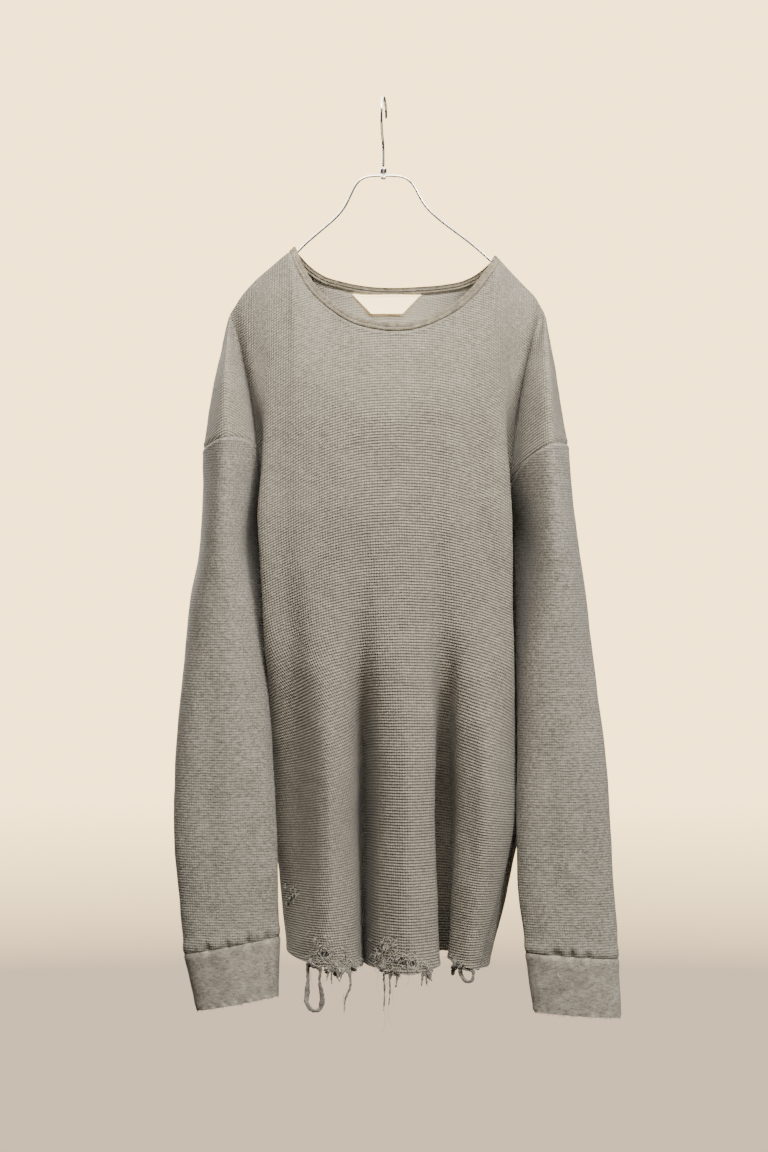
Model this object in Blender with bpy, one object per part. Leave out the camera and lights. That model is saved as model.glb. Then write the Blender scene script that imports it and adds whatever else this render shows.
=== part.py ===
"""A waffle knit thermal top hung on a thin wire hanger, with a torn hem.

Lengths are in millimetres until a mesh is made, then metres. X runs to the right, Y away from
the viewer and Z up. The origin is where the hook's crown rests on a rod. The cloth is one
surface worked out from the tables below, cut into panels at its seams and thickened.
"""

import math
from collections import namedtuple

import bmesh
import bpy
import numpy as np
from mathutils import Vector
from mathutils.bvhtree import BVHTree

MM = 0.001
# Each panel stops this far short of its seams.
SEAM_INSET = 0.18
BAND_INSET = 0.3
KNIT_WALL = 1.8
CUFF_WALL = 2.0
BAND_WALL = 2.1
LABEL_WALL = 1.0
MOST_MITRE = 2.5
MITRE_ROOM = 2.4
SHARP = math.radians(50)
# The hem's folds that face the viewer lie in front of this.
HEM_FRONT_Y = -50.0

# Heights of the body's stations. The side seams start at the notches, where the armholes turn
# under, and meet at the armpits.
BUST_Z = -340.0
NOTCH_Z = -408.0
ARM_Z = -437.0
SWAY_Z = -825.0
HEM_Z = -900.0
NOTCH_LEFT_X = -129.0
NOTCH_RIGHT_X = 131.0
NOTCH_HALF_Y = 17.0
# How far the lines have gone at the notch from bust to arm, and at the sway from hip to hem.
NOTCH_SHARE = 0.7
SWAY_SHARE = 0.45

# Where the flutes grow between the armpit and the hem.
Growth = namedtuple("Growth", "z across depth")
GROWTH = (
    Growth(ARM_Z, 0.0, 0.0),
    Growth(-500.0, 0.25, 0.03),
    Growth(-568.0, 0.5, 0.17),
    Growth(-631.0, 0.85, 0.52),
    Growth(-700.0, 1.0, 0.86),
    Growth(-750.0, 1.0, 1.0),
)

# The fold lines of the front from its left side seam to its right: mesh columns to the next
# line, where the line leaves the shoulder or neck, and its place at bust, armpit, hip and hem.
Line = namedtuple("Line", "name columns top_x bust_x bust_y arm_x arm_y hip_x hip_y hem_x hem_y hem_z")
FRONT_LINES = (
    Line("side_left", 2, -161, -135, -20, -132, 0, -108, 26, -84, 34, -885),
    Line("under_left", 2, -152, -127, -34, -108, -24, -112, 14, -96, 16, -886),
    Line("edge_left", 3, -140, -122, -47, -129, -54, -116, 0, -100, -1, -888),
    Line("flute_1_left", 4, -99.2, -97, -57, -98, -62, -76, -58, -78, -70, -894),
    Line("flute_1", 2, -80, -76, -61, -76, -65, -56, -77, -55, -86, -897),
    Line("flute_1_right", 3, -58, -55, -63, -55, -67, -38, -63, -32, -75, -899),
    Line("valley_2", 3, -33, -32, -64, -32, -68, -20, -9, -22, -7, -905),
    Line("flute_2_left", 2, -8, -8, -65, -8, -68, -2, -62, -5, -70, -900),
    Line("flute_2", 2, 14, 15, -65, 15, -68, 24, -80, 26, -88, -904),
    Line("flute_2_right", 3, 37, 37, -64, 38, -68, 48, -64, 53, -70, -899),
    Line("valley_3_left", 1, 58, 59, -63, 57, -67, 59, -12, 58.5, -12, -892),
    Line("valley_3_right", 3, 66, 66, -63, 65, -67, 67, -12, 64.5, -12, -892),
    Line("flute_3_left", 3, 97, 88, -60, 84, -64, 77, -56, 69, -62, -893),
    Line("flute_3", 3, 121.8, 107, -56, 105, -61, 102, -76, 88, -78, -899),
    Line("edge_right", 2, 146, 124, -46, 131, -52, 133, -34, 95, -70, -902),
    Line("under_right", 2, 158, 129, -34, 110, -24, 138, -8, 96, -58, -903),
    Line("side_right", 0, 168, 138, -20, 132, 0, 141, 4, 97, -46, -904),
)
BACK_LINES = (
    Line("side_left", 2, -161, -135, 20, -132, 0, -108, 26, -84, 34, -885),
    Line("under_left", 2, -152, -127, 34, -110, 24, -117, 40, -92, 50, -887),
    Line("edge_left", 3, -140, -122, 47, -136, 56, -127, 60, -90, 66, -890),
    Line("flute_4_side", 3, -99.2, -97, 57, -96, 62, -84, 46, -70, 32, -893),
    Line("valley_4", 3, -75, -67, 61, -64, 64, -58, 10, -55, -8, -896),
    Line("flute_5_left", 3, -42, -42, 63, -42, 66, -38, 46, -37, 40, -899),
    Line("flute_5", 3, -15, -16, 64, -16, 67, -16, 76, -15, 85, -902),
    Line("flute_5_right", 3, 8, 6, 64, 6, 67, 4, 46, 6, 38, -902),
    Line("valley_5", 3, 32, 28, 64, 28, 67, 25, 2, 26, -16, -901),
    Line("flute_6_left", 3, 54, 49, 63, 48, 66, 45, 46, 46, 36, -901),
    Line("flute_6", 3, 92, 76, 61, 70, 65, 68, 80, 66, 85, -903),
    Line("flute_6_side", 3, 121.8, 104, 57, 98, 62, 108, 74, 94, 60, -904),
    Line("edge_right", 2, 146, 124, 46, 138, 56, 147, 52, 110, 16, -907),
    Line("under_right", 2, 158, 129, 34, 110, 24, 145, 26, 107, -20, -907),
    Line("side_right", 0, 168, 138, 20, 132, 0, 141, 4, 97, -46, -904),
)
# Rows between the top edge and the bust as shares of the way, and rows below it.
UPPER_SHARES = (0.0, 0.035, 0.09, 0.18, 0.3, 0.46, 0.64, 0.82, 1.0)
# Beside the hanger's end the first rows meet in one point.
END_SHARES = (0.0, 0.0, 0.0, 0.0, 0.22, 0.42, 0.62, 0.82, 1.0)
END_COLUMNS = 4
LEAST_SHARE = 0.02
FOLD_ROW = 5
NOTCH_ROWS = 3
ARM_ROWS = 2
LOWER_ROWS = 15

# The top edges: shoulder seams with the neck between them.
Edge = namedtuple("Edge", "x y z forward down aside", defaults=(0,))
SHOULDER_LEFT = (
    Edge(-161.0, 0.0, -225.0, 42, 60, 25),
    Edge(-151.0, 0.0, -209.5, 55, 42),
    Edge(-138.0, 0.0, -194.5, 75, 24),
    Edge(-120.0, 0.0, -178.5, 80, 16),
    Edge(-99.2, 0.0, -160.7, 80, 18),
)
SHOULDER_RIGHT = (
    Edge(121.8, 0.0, -170.1, 80, 18),
    Edge(132.0, 0.0, -181.5, 80, 16),
    Edge(147.0, 0.0, -196.8, 75, 24),
    Edge(160.0, 0.0, -210.5, 55, 42),
    Edge(168.0, 0.0, -224.0, 42, 60, -45),
)
FRONT_NECK = (
    Edge(-99.2, 0.0, -160.7, 80, 18),
    Edge(-95.5, -10.0, -171.5, 72, 34),
    Edge(-87.7, -17.0, -187.8, 60, 50),
    Edge(-75.9, -23.0, -205.5, 45, 60),
    Edge(-58.0, -30.0, -223.1, 30, 66),
    Edge(-35.1, -37.0, -238.4, 24, 70),
    Edge(-9.3, -40.0, -246.0, 20, 72),
    Edge(11.3, -41.0, -248.2, 20, 72),
    Edge(32.0, -40.0, -246.0, 20, 72),
    Edge(57.9, -36.0, -236.3, 24, 70),
    Edge(80.8, -30.0, -222.1, 30, 66),
    Edge(99.8, -23.0, -203.4, 45, 60),
    Edge(111.0, -16.0, -188.3, 60, 50),
    Edge(118.3, -9.5, -177.5, 72, 34),
    Edge(121.8, 0.0, -170.1, 80, 18),
)
BACK_NECK = (
    Edge(-99.2, 0.0, -160.7, 80, 18),
    Edge(-94.0, 8.5, -166.2, 72, 34),
    Edge(-85.3, 14.0, -175.3, 60, 50),
    Edge(-67.7, 19.0, -187.9, 50, 66),
    Edge(-46.6, 22.0, -194.6, 42, 74),
    Edge(-14.9, 26.0, -199.9, 38, 80),
    Edge(8.5, 27.0, -200.9, 38, 80),
    Edge(38.2, 26.0, -199.9, 38, 80),
    Edge(64.7, 23.0, -198.0, 42, 74),
    Edge(85.7, 20.0, -194.0, 50, 66),
    Edge(102.0, 15.0, -186.4, 60, 50),
    Edge(116.0, 8.0, -175.2, 72, 34),
    Edge(121.8, 0.0, -170.1, 80, 18),
)

# Past the hanger's ends each shoulder hangs as a narrow column. Its lines fan out from the end
# of the wire to the armhole seam: half way and at the seam.
Rib = namedtuple("Rib", "name mid_x mid_y mid_z end_x end_y end_z")
RIBS_LEFT = (
    Rib("inner", -147.5, -34, -298, -139.5, -52, -361),
    Rib("ridge", -163, -50, -292, -160.5, -73, -359),
    Rib("face", -172, -34, -295, -181, -46, -366),
    Rib("outer", -177, 0, -298, -187, 0, -370),
)
RIBS_RIGHT = (
    Rib("inner", 152, -36, -300, 148.5, -53, -379),
    Rib("ridge", 169, -50, -292, 170, -73, -366),
    Rib("face", 176, -34, -294, 186, -46, -364),
    Rib("outer", 180, 0, -296, 191, 0, -366),
)
RIB_COLUMNS = 2

# Sections down each sleeve: height, centre, half sizes and how far the side toward the body swells.
Cut = namedtuple("Cut", "z x y half_x half_y swell", defaults=(0,))
SLEEVE_LEFT = (
    Cut(-478, -165.0, -3, 28.0, 66, 5),
    Cut(-522, -165.0, -10, 35.5, 54, 1),
    Cut(-610, -165.5, -25, 43.5, 36),
    Cut(-690, -166.0, -31, 50.0, 26),
    Cut(-745, -165.0, -33, 52.5, 21),
    Cut(-830, -160.5, -34, 50.5, 16),
    Cut(-882, -157.5, -34, 48.5, 14),
)
SLEEVE_RIGHT = (
    Cut(-478, 176.5, -3, 27.0, 66, 13),
    Cut(-522, 178.0, -10, 32.0, 54, 8),
    Cut(-610, 180.5, -25, 39.5, 36, 2),
    Cut(-697, 184.5, -31, 45.5, 26),
    Cut(-763, 186.5, -33, 48.0, 20),
    Cut(-830, 189.0, -34, 49.0, 16),
    Cut(-893, 194.5, -34, 47.0, 14),
)
OVAL_STEPS = 720
# The swelling lies behind the middle of the side, as shares of the section's half depth.
SWELL_BACK = 0.25
SWELL_SPREAD = 0.4
SLEEVE_ROWS = 13
# The armhole loop counts as lying at this height. Below the other one the sections tilt.
LOOP_Z = NOTCH_Z + 30.0
TILT_Z = -640.0
SLEEVE_TILT_LEFT = 0.19
SLEEVE_TILT_RIGHT = -0.07
CUFF_ROWS = 3
CUFF_LEFT = Cut(-942, -151.5, -34, 42.0, 12)
CUFF_RIGHT = Cut(-954, 199.5, -34, 44.5, 12)

# The neck band: its height, how it stands at the neck points and how it leans to front and back.
BAND_ROWS = 2
BAND_FRONT = 8.2
BAND_BACK = 6.0
BAND_POINT_X = 0.75
BAND_POINT_Z = 0.66
BAND_LEAN_FRONT = 0.3
BAND_LEAN_BACK = -0.18
# Which way the wall faces at the tips of the shoulders.
TIP_X = 0.35
TIP_Z = 0.92

# The hanger's wire: one closed frame with a flat bridge under the hook.
WIRE_R = 1.5
WIRE_SIDES = 8
WIRE_GAP = 0.45
# The neck seam dips beside the wire, so the wire runs this much deeper at the neck points.
NECK_DROP = 3.4
FRAME_STEP = 8.0
BAR_STEP = 45.0
END_R = 9.0
END_INSET = 10.5
END_STEPS = 6
BAR_Z = -246.0
Bend = namedtuple("Bend", "x y z")
FRAME_LEFT = (
    Bend(-12.0, 0, -80.4),
    Bend(-21.0, 0, -82.2),
    Bend(-27.5, 0, -86.5),
    Bend(-31.5, 0, -93.0),
    Bend(-35.5, 0, -101.5),
    Bend(-41.0, 0, -113.0),
    Bend(-50.5, 0, -124.5),
    Bend(-62.0, 0, -134.5),
    Bend(-88.0, 0, -157.5),
)
FRAME_RIGHT = (
    Bend(11.5, 0, -80.4),
    Bend(20.0, 0, -81.5),
    Bend(28.5, 0, -86.5),
    Bend(35.7, 0, -99.0),
    Bend(42.0, 0, -110.5),
    Bend(55.7, 0, -124.5),
    Bend(72.5, 0, -137.5),
    Bend(92.4, 0, -152.5),
    Bend(105.0, 0, -163.4),
)
HOOK_STEP = 5.0
HOOK_PATH = (
    Bend(-0.7, 0.0, -72.2),
    Bend(-0.7, 0.0, -62.0),
    Bend(-0.9, -0.5, -48.0),
    Bend(-2.0, -7.0, -38.0),
    Bend(-2.7, -15.5, -28.0),
    Bend(-2.8, -19.5, -17.0),
    Bend(-2.2, -17.5, -7.0),
    Bend(-1.2, -10.0, -0.2),
    Bend(0.0, 0.0, 1.6),
    Bend(1.2, 10.0, -1.0),
    Bend(2.0, 17.0, -8.0),
    Bend(2.3, 20.0, -17.0),
)
# Turned pieces on the hook's shank, as radius and height from top to bottom.
SHANK_X = -0.7
TURN_SIDES = 16
FERRULE = ((2.7, -72.5), (3.5, -73.3), (3.5, -77.7), (2.7, -78.5))
RIVET = ((3.0, -82.25), (3.0, -83.2), (1.8, -84.3))

# The neck label: half widths, heights and columns.
LABEL_X = 3.0
LABEL_TOP = 36.5
LABEL_FOOT = 16.5
LABEL_TOP_Z = -201.5
LABEL_FOOT_Z = -220.5
LABEL_GAP = 0.45
LABEL_COLUMNS = 10
LABEL_ROWS = 4

# Rips cut through the foot of the front: place, half sizes, turn in degrees, sides and depths.
Rip = namedtuple("Rip", "name x z half_x half_z turn sides y_from y_to", defaults=(-118.0, -60.0))
RIPS = (
    Rip("rip_foot_1_hole", -61.5, -884.0, 6.0, 6.5, 25, 9),
    Rip("rip_foot_1_notch", -38.0, -893.0, 3.0, 9.0, 8, 7),
    Rip("rip_foot_1_side", -73.0, -887.0, 2.4, 2.8, 10, 7),
    Rip("rip_foot_2_slit", -3.0, -880.0, 2.4, 8.0, -12, 7),
    Rip("rip_foot_2_tear", 22.0, -892.5, 17.0, 2.6, -10, 11),
    Rip("rip_foot_2_left", 10.5, -871.0, 2.6, 3.0, 12, 7),
    Rip("rip_foot_2_mid", 23.0, -882.0, 2.6, 2.4, 15, 7),
    Rip("rip_side_slit", -94.0, -834.0, 2.4, 9.0, -38, 7, -62.0, 8.0),
)
RAGGED = 0.14

# Stretches of hem that hang below the rips. Each is a narrow strip parted from the front's
# edge between two places along X, with strands from its lower rim. A strand's rows are X, Z and
# half width; a strand with a second root ends on the strip again.
STRIP_GAP = 0.35
STRIP_WALL = 1.4
STRAND_DEPTH = 0.6
Row = namedtuple("Row", "x z half")
Strand = namedtuple("Strand", "root rows end", defaults=(None,))
Strip = namedtuple("Strip", "name x_from x_to cells height strands")
STRIPS = (
    Strip(
        "hem_loop",
        -79.5,
        -62.0,
        5,
        3.6,
        (
            Strand(
                0,
                (
                    Row(-77.2, -906.0, 1.5),
                    Row(-77.6, -915.0, 1.9),
                    Row(-78.2, -924.0, 2.9),
                    Row(-79.4, -932.5, 2.6),
                    Row(-76.4, -940.0, 2.3),
                    Row(-70.5, -943.6, 2.1),
                    Row(-64.6, -940.4, 2.4),
                    Row(-61.8, -932.0, 3.0),
                    Row(-63.4, -923.0, 2.6),
                    Row(-65.4, -913.0, 1.3),
                    Row(-65.2, -906.0, 1.3),
                ),
                4,
            ),
        ),
    ),
    Strip(
        "hem_strand",
        -44.0,
        -31.0,
        5,
        3.4,
        (
            Strand(0, (Row(-43.4, -908.0, 0.8), Row(-45.0, -911.5, 0.3))),
            Strand(
                3,
                (
                    Row(-34.4, -910.0, 1.2),
                    Row(-33.4, -914.5, 1.1),
                    Row(-35.0, -920.5, 1.1),
                    Row(-38.0, -926.5, 1.0),
                    Row(-39.7, -931.0, 0.7),
                    Row(-40.2, -944.0, 0.3),
                ),
            ),
        ),
    ),
    Strip(
        "hem_torn_band",
        70.0,
        92.0,
        8,
        3.2,
        (
            Strand(0, (Row(70.6, -904.0, 2.4), Row(69.4, -909.0, 1.6))),
            Strand(
                2,
                (
                    Row(78.6, -906.5, 2.2),
                    Row(81.2, -911.6, 2.1),
                    Row(85.4, -913.9, 2.0),
                    Row(89.4, -912.2, 1.8),
                    Row(91.0, -908.6, 1.5),
                ),
                7,
            ),
        ),
    ),
    Strip(
        "hem_fray_1",
        -57.0,
        -46.5,
        6,
        3.0,
        (
            Strand(0, (Row(-57.2, -906.0, 0.7), Row(-58.0, -910.0, 0.3))),
            Strand(2, (Row(-53.4, -908.0, 0.7), Row(-52.6, -914.0, 0.3))),
            Strand(5, (Row(-47.0, -907.0, 0.7), Row(-45.6, -910.5, 0.3))),
        ),
    ),
    Strip(
        "hem_fray_2",
        -1.0,
        17.0,
        8,
        3.0,
        (
            Strand(0, (Row(-0.6, -909.0, 0.6), Row(1.4, -926.0, 0.5), Row(-0.8, -944.0, 0.3))),
            Strand(3, (Row(5.4, -910.0, 0.6), Row(6.6, -922.0, 0.5), Row(4.6, -938.0, 0.3))),
            Strand(6, (Row(13.0, -912.0, 0.7), Row(12.0, -917.0, 0.3))),
        ),
    ),
    Strip(
        "hem_fray_3",
        38.0,
        50.0,
        6,
        3.0,
        (
            Strand(0, (Row(38.8, -909.0, 0.8), Row(38.0, -916.0, 0.3))),
            Strand(2, (Row(43.0, -910.0, 1.0), Row(43.6, -918.0, 0.3))),
            Strand(4, (Row(47.0, -907.0, 0.8), Row(48.6, -913.0, 0.3))),
        ),
    ),
)


def between(first, second, share):
    return first + (second - first) * share


def spline(knots, values, at):
    """Cubic curve through values at rising knots, read at each place in at."""
    knots = np.asarray(knots, float)
    values = np.asarray(values, float)
    at = np.clip(np.asarray(at, float), knots[0], knots[-1])
    flat = values.reshape(len(knots), -1)
    steps = np.diff(knots)[:, None]
    slopes = np.diff(flat, axis=0) / steps
    tangents = np.empty_like(flat)
    tangents[0] = slopes[0]
    tangents[-1] = slopes[-1]
    tangents[1:-1] = (slopes[:-1] * steps[1:] + slopes[1:] * steps[:-1]) / (steps[:-1] + steps[1:])
    place = np.clip(np.searchsorted(knots, at, side="right") - 1, 0, len(knots) - 2)
    width = steps[place]
    share = ((at - knots[place])[:, None]) / width
    return (
        flat[place] * (1 + 2 * share) * (1 - share) ** 2
        + tangents[place] * width * share * (1 - share) ** 2
        + flat[place + 1] * share**2 * (3 - 2 * share)
        + tangents[place + 1] * width * share**2 * (share - 1)
    ).reshape((len(at),) + values.shape[1:])


def chord_knots(points):
    """Distance along a polyline at each of its points."""
    steps = np.linalg.norm(np.diff(np.asarray(points, float), axis=0), axis=1)
    return np.concatenate([[0.0], np.cumsum(steps)])


def column_places(lines):
    """Each mesh column as a line number plus the share of the way to the next line."""
    places = []
    for number, line in enumerate(lines[:-1]):
        places += [number + step / line.columns for step in range(line.columns)]
    return np.array(places + [len(lines) - 1], float)


def across(lines, points, places):
    """Points of all lines at one height, read at the column places."""
    knots = chord_knots(points)
    return spline(knots, points, np.interp(places, np.arange(len(lines)), knots))


def line_stations(lines):
    """Knot heights, and each line's X and Y at them."""
    bust = np.array([(line.bust_x, line.bust_y) for line in lines], float)
    arm = np.array([(line.arm_x, line.arm_y) for line in lines], float)
    hip = np.array([(line.hip_x, line.hip_y) for line in lines], float)
    hem = np.array([(line.hem_x, line.hem_y) for line in lines], float)
    notch = between(bust, arm, NOTCH_SHARE)
    side = math.copysign(NOTCH_HALF_Y, lines[1].bust_y)
    notch[0] = (NOTCH_LEFT_X, side)
    notch[-1] = (NOTCH_RIGHT_X, side)
    heights = [BUST_Z, NOTCH_Z] + [growth.z for growth in GROWTH] + [SWAY_Z, HEM_Z]
    stations = [bust, notch]
    for growth in GROWTH:
        stations.append(between(arm, hip, np.array([growth.across, growth.depth])))
    stations += [between(hip, hem, SWAY_SHARE), hem]
    return np.array(heights), np.array(stations)


def top_edge(x, neck):
    """Y, Z and the leaving slope of the top edge at each X."""
    rows = []
    for value in x:
        part = neck
        if value <= SHOULDER_LEFT[-1].x:
            part = SHOULDER_LEFT
        elif value >= SHOULDER_RIGHT[0].x:
            part = SHOULDER_RIGHT
        knots = [edge.x for edge in part]
        rows.append(spline(knots, [edge[1:] for edge in part], [value])[0])
    return np.array(rows)


def body_grid(lines, neck):
    """Rows by columns of points for a front or back body, from its top edge to its hem."""
    places = column_places(lines)
    heights, stations = line_stations(lines)
    facing = -1.0 if lines is FRONT_LINES else 1.0
    sides = [0, len(lines) - 1]
    nominal = np.concatenate(
        [
            np.linspace(BUST_Z, NOTCH_Z, NOTCH_ROWS + 1),
            np.linspace(NOTCH_Z, ARM_Z, ARM_ROWS + 1)[1:],
            np.linspace(ARM_Z, HEM_Z, LOWER_ROWS + 1)[1:],
        ]
    )
    down = spline(-heights, stations, -nominal)
    # The side seams turn at the armpit, so they are smooth above and below it only.
    split = int(np.argmin(np.abs(heights - ARM_Z)))
    below = nominal <= ARM_Z
    down[np.ix_(below, sides)] = spline(-heights[split:], stations[split:][:, sides], -nominal[below])
    hem_z = spline(np.arange(len(lines)), [line.hem_z for line in lines], places)
    rows = []
    for height, points in zip(nominal, down):
        plan = across(lines, points, places)
        sag = max(0.0, (ARM_Z - height) / (ARM_Z - HEM_Z)) ** 2
        rows.append(np.column_stack([plan, height + (hem_z - HEM_Z) * sag]))
    top_x = np.interp(places, np.arange(len(lines)), [line.top_x for line in lines])
    edge = top_edge(top_x, neck)
    start = np.column_stack([top_x, edge[:, 0], edge[:, 1]])
    leave = np.column_stack([edge[:, 4], facing * edge[:, 2], -edge[:, 3]])
    end = rows[0]
    arrive = (rows[1] - rows[0]) / abs(nominal[1] - nominal[0]) * np.abs(end[:, 2] - start[:, 2])[:, None]
    above = []
    steps = np.minimum(np.arange(len(places)), np.arange(len(places))[::-1])
    nearness = np.maximum(0.0, 1.0 - steps / END_COLUMNS)
    for middle, outer in zip(UPPER_SHARES[:-1], END_SHARES[:-1]):
        share = between(middle, outer, nearness)[:, None]
        share[share < LEAST_SHARE] = 0.0
        above.append(
            start * (1 + 2 * share) * (1 - share) ** 2
            + leave * share * (1 - share) ** 2
            + end * share**2 * (3 - 2 * share)
            + arrive * share**2 * (share - 1)
        )
    return np.array(above + rows)


def rib_grid(ribs, seam_line, side):
    """The fan from the hanger's end: rows follow the body's edge line, columns go round to the
    shoulder seam. Side is 1 on the front and -1 on the back."""
    shares = chord_knots(seam_line)
    shares = shares / shares[-1]
    apex = seam_line[0]
    lines = [seam_line]
    for rib in ribs:
        mid = np.array([rib.mid_x, rib.mid_y * side, rib.mid_z], float)
        end = np.array([rib.end_x, rib.end_y * side, rib.end_z], float)
        lines.append(spline([0.0, 0.5, 1.0], [apex, mid, end], shares))
    # The far side's neighbour of the outer line keeps the turn round it even.
    face = lines[-2] * np.array([1.0, -1.0, 1.0])
    lines.append(face)
    steps = RIB_COLUMNS * len(ribs)
    rows = [np.repeat(apex[None, :], steps + 1, axis=0)]
    for row in range(1, len(seam_line)):
        points = np.array([line[row] for line in lines])
        if shares[row] == 0.0:
            rows.append(rows[0])
            continue
        knots = chord_knots(points)
        places = np.interp(np.arange(steps + 1) / RIB_COLUMNS, np.arange(len(lines)), knots)
        rows.append(spline(knots, points, places))
    return np.array(rows)


def oval(cut, shares, tilt=0.0):
    """Points round a section at shares of its way round, from its outer side by the front."""
    angles = np.linspace(0.0, 2 * math.pi, OVAL_STEPS + 1)
    outward = -1.0 if cut.x < 0 else 1.0
    x = cut.x + outward * cut.half_x * np.cos(angles)
    y = cut.y - cut.half_y * np.sin(angles)
    behind = ((y - cut.y) / cut.half_y - SWELL_BACK) / SWELL_SPREAD
    x -= outward * cut.swell * np.exp(-(behind**2)) * np.maximum(0.0, -np.cos(angles))
    ring = np.column_stack([x, y, cut.z + tilt * (x - cut.x)])
    knots = chord_knots(ring)
    places = np.asarray(shares) * knots[-1]
    return np.column_stack([np.interp(places, knots, ring[:, axis]) for axis in range(3)])


def sleeve_grid(loop, cuts, tilt, rows=SLEEVE_ROWS):
    """Rows down a sleeve below its armhole loop, which starts at the outer side and goes by the front."""
    way = chord_knots(np.vstack([loop, loop[:1]]))
    foremost, lowest, rearmost = np.argmin(loop[:, 1]), np.argmin(loop[:, 2]), np.argmax(loop[:, 1])
    turns = [0, int(foremost), int(lowest), int(rearmost), len(loop)]
    shares = np.interp(way[:-1], way[turns], np.linspace(0.0, 1.0, len(turns)))
    tilts = [tilt * max(0.0, (cut.z - TILT_Z) / (cuts[-1].z - TILT_Z)) for cut in cuts]
    stations = [loop] + [oval(cut, shares, amount) for cut, amount in zip(cuts, tilts)]
    drop = [0.0] + [LOOP_Z - cut.z for cut in cuts]
    return spline(drop, np.array(stations), np.linspace(0.0, drop[-1], rows + 1)), shares


class Surface:
    """The garment's mid surface, gathered from grids that share their edge points."""

    def __init__(self):
        self.points = []
        self.index = {}
        self.faces = []
        self.panels = []
        self.creases = {}
        self.plain = set()

    def vertex(self, point):
        key = tuple(int(round(value * 100)) for value in point)
        if key not in self.index:
            self.index[key] = len(self.points)
            self.points.append(np.array(point, float))
        return self.index[key]

    def add(self, panel, grid, flip=False, closed=False):
        numbers = [[self.vertex(point) for point in row] for row in grid]
        if closed:
            numbers = [row + row[:1] for row in numbers]
        for upper, lower in zip(numbers[:-1], numbers[1:]):
            for a, b, c, d in zip(upper[:-1], upper[1:], lower[1:], lower[:-1]):
                # Each cell is split along its shorter diagonal, the same way on both faces of the wall.
                if self.distance(a, c) <= self.distance(b, d):
                    halves = ((a, b, c), (a, c, d))
                else:
                    halves = ((a, b, d), (b, c, d))
                for half in halves:
                    if len(set(half)) == 3:
                        self.faces.append(half if flip else half[::-1])
                        self.panels.append(panel)

    def distance(self, first, second):
        return float(np.linalg.norm(self.points[first] - self.points[second]))

    def offsets(self):
        """How each point moves for a wall of unit half thickness: further in a sharp fold."""
        points = np.array(self.points)
        faces = np.array(self.faces)
        a, b, c = (points[faces[:, corner]] for corner in range(3))
        area = np.cross(b - a, c - a)
        flat = area / np.maximum(np.linalg.norm(area, axis=1), 1e-9)[:, None]
        total = np.zeros_like(points)
        for corner in range(3):
            ahead = points[faces[:, (corner + 1) % 3]] - points[faces[:, corner]]
            behind = points[faces[:, (corner + 2) % 3]] - points[faces[:, corner]]
            turn = np.einsum("ij,ij->i", ahead, behind)
            turn /= np.maximum(np.linalg.norm(ahead, axis=1) * np.linalg.norm(behind, axis=1), 1e-9)
            np.add.at(total, faces[:, corner], flat * np.arccos(np.clip(turn, -1.0, 1.0))[:, None])
        for number, direction in self.creases.items():
            total[number] = direction
        total /= np.maximum(np.linalg.norm(total, axis=1), 1e-9)[:, None]
        lean = np.full(len(points), 1.0)
        room = np.full(len(points), 1e3)
        for corner in range(3):
            met = np.abs(np.einsum("ij,ij->i", total[faces[:, corner]], flat))
            np.minimum.at(lean, faces[:, corner], met)
            side = np.linalg.norm(points[faces[:, (corner + 1) % 3]] - points[faces[:, corner]], axis=1)
            np.minimum.at(room, faces[:, corner], side)
            np.minimum.at(room, faces[:, (corner + 1) % 3], side)
        lean[list(self.plain)] = 1.0
        most = np.clip(room / MITRE_ROOM, 1.0, MOST_MITRE)
        return total / np.maximum(lean, 1.0 / most)[:, None]


def panel_wall(surface, offsets, panel, wall, inset=SEAM_INSET):
    """One panel cut from the surface at its seams, as a closed wall: points and faces."""
    points = np.array(surface.points)
    named = list(zip(surface.faces, surface.panels))
    faces = [face for face, name in named if name == panel]
    shared = {number for face, name in named if name != panel for number in face}
    edges = {}
    toward = {}
    for face in faces:
        centre = points[list(face)].mean(axis=0)
        for a, b in zip(face, face[1:] + face[:1]):
            edges[(a, b)] = True
            toward.setdefault(a, []).append(centre)
    rim = [(a, b) for a, b in edges if (b, a) not in edges]
    following = dict(rim)
    before = {b: a for a, b in rim}
    used = sorted({number for face in faces for number in face})
    place = {number: position for position, number in enumerate(used)}
    outer, inner = [], []
    for number in used:
        point, offset = points[number], offsets[number]
        if number in following and number in shared:
            normal = offset / np.linalg.norm(offset)
            along = points[following[number]] - points[before[number]]
            along = along / np.linalg.norm(along)
            inward = np.mean(toward[number], axis=0) - point
            inward = inward - along * inward.dot(along) - normal * inward.dot(normal)
            point = point + inward / np.linalg.norm(inward) * inset
        outer.append(point + offset * wall / 2)
        inner.append(point - offset * wall / 2)
    count = len(used)
    solid = [tuple(place[number] for number in face) for face in faces]
    solid += [tuple(count + place[number] for number in reversed(face)) for face in faces]
    for a, b in rim:
        ring = (place[b], place[a], count + place[a], count + place[b])
        if a < b:
            solid += [(ring[0], ring[1], ring[3]), (ring[1], ring[2], ring[3])]
        else:
            solid += [(ring[0], ring[1], ring[2]), (ring[0], ring[2], ring[3])]
    return np.array(outer + inner), solid


def object_from(name, points, faces, material):
    """A mesh object from points in millimetres, shaded smooth but for its sharp edges."""
    mesh = bpy.data.meshes.new(name)
    mesh.from_pydata([Vector(point) * MM for point in points], [], faces)
    made = bpy.data.objects.new(name, mesh)
    bpy.context.collection.objects.link(made)
    mesh.materials.append(material)
    work = bmesh.new()
    work.from_mesh(mesh)
    bmesh.ops.recalc_face_normals(work, faces=work.faces)
    work.to_mesh(mesh)
    work.free()
    mesh.shade_smooth()
    mesh.set_sharp_from_angle(angle=SHARP)
    return made


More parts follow.
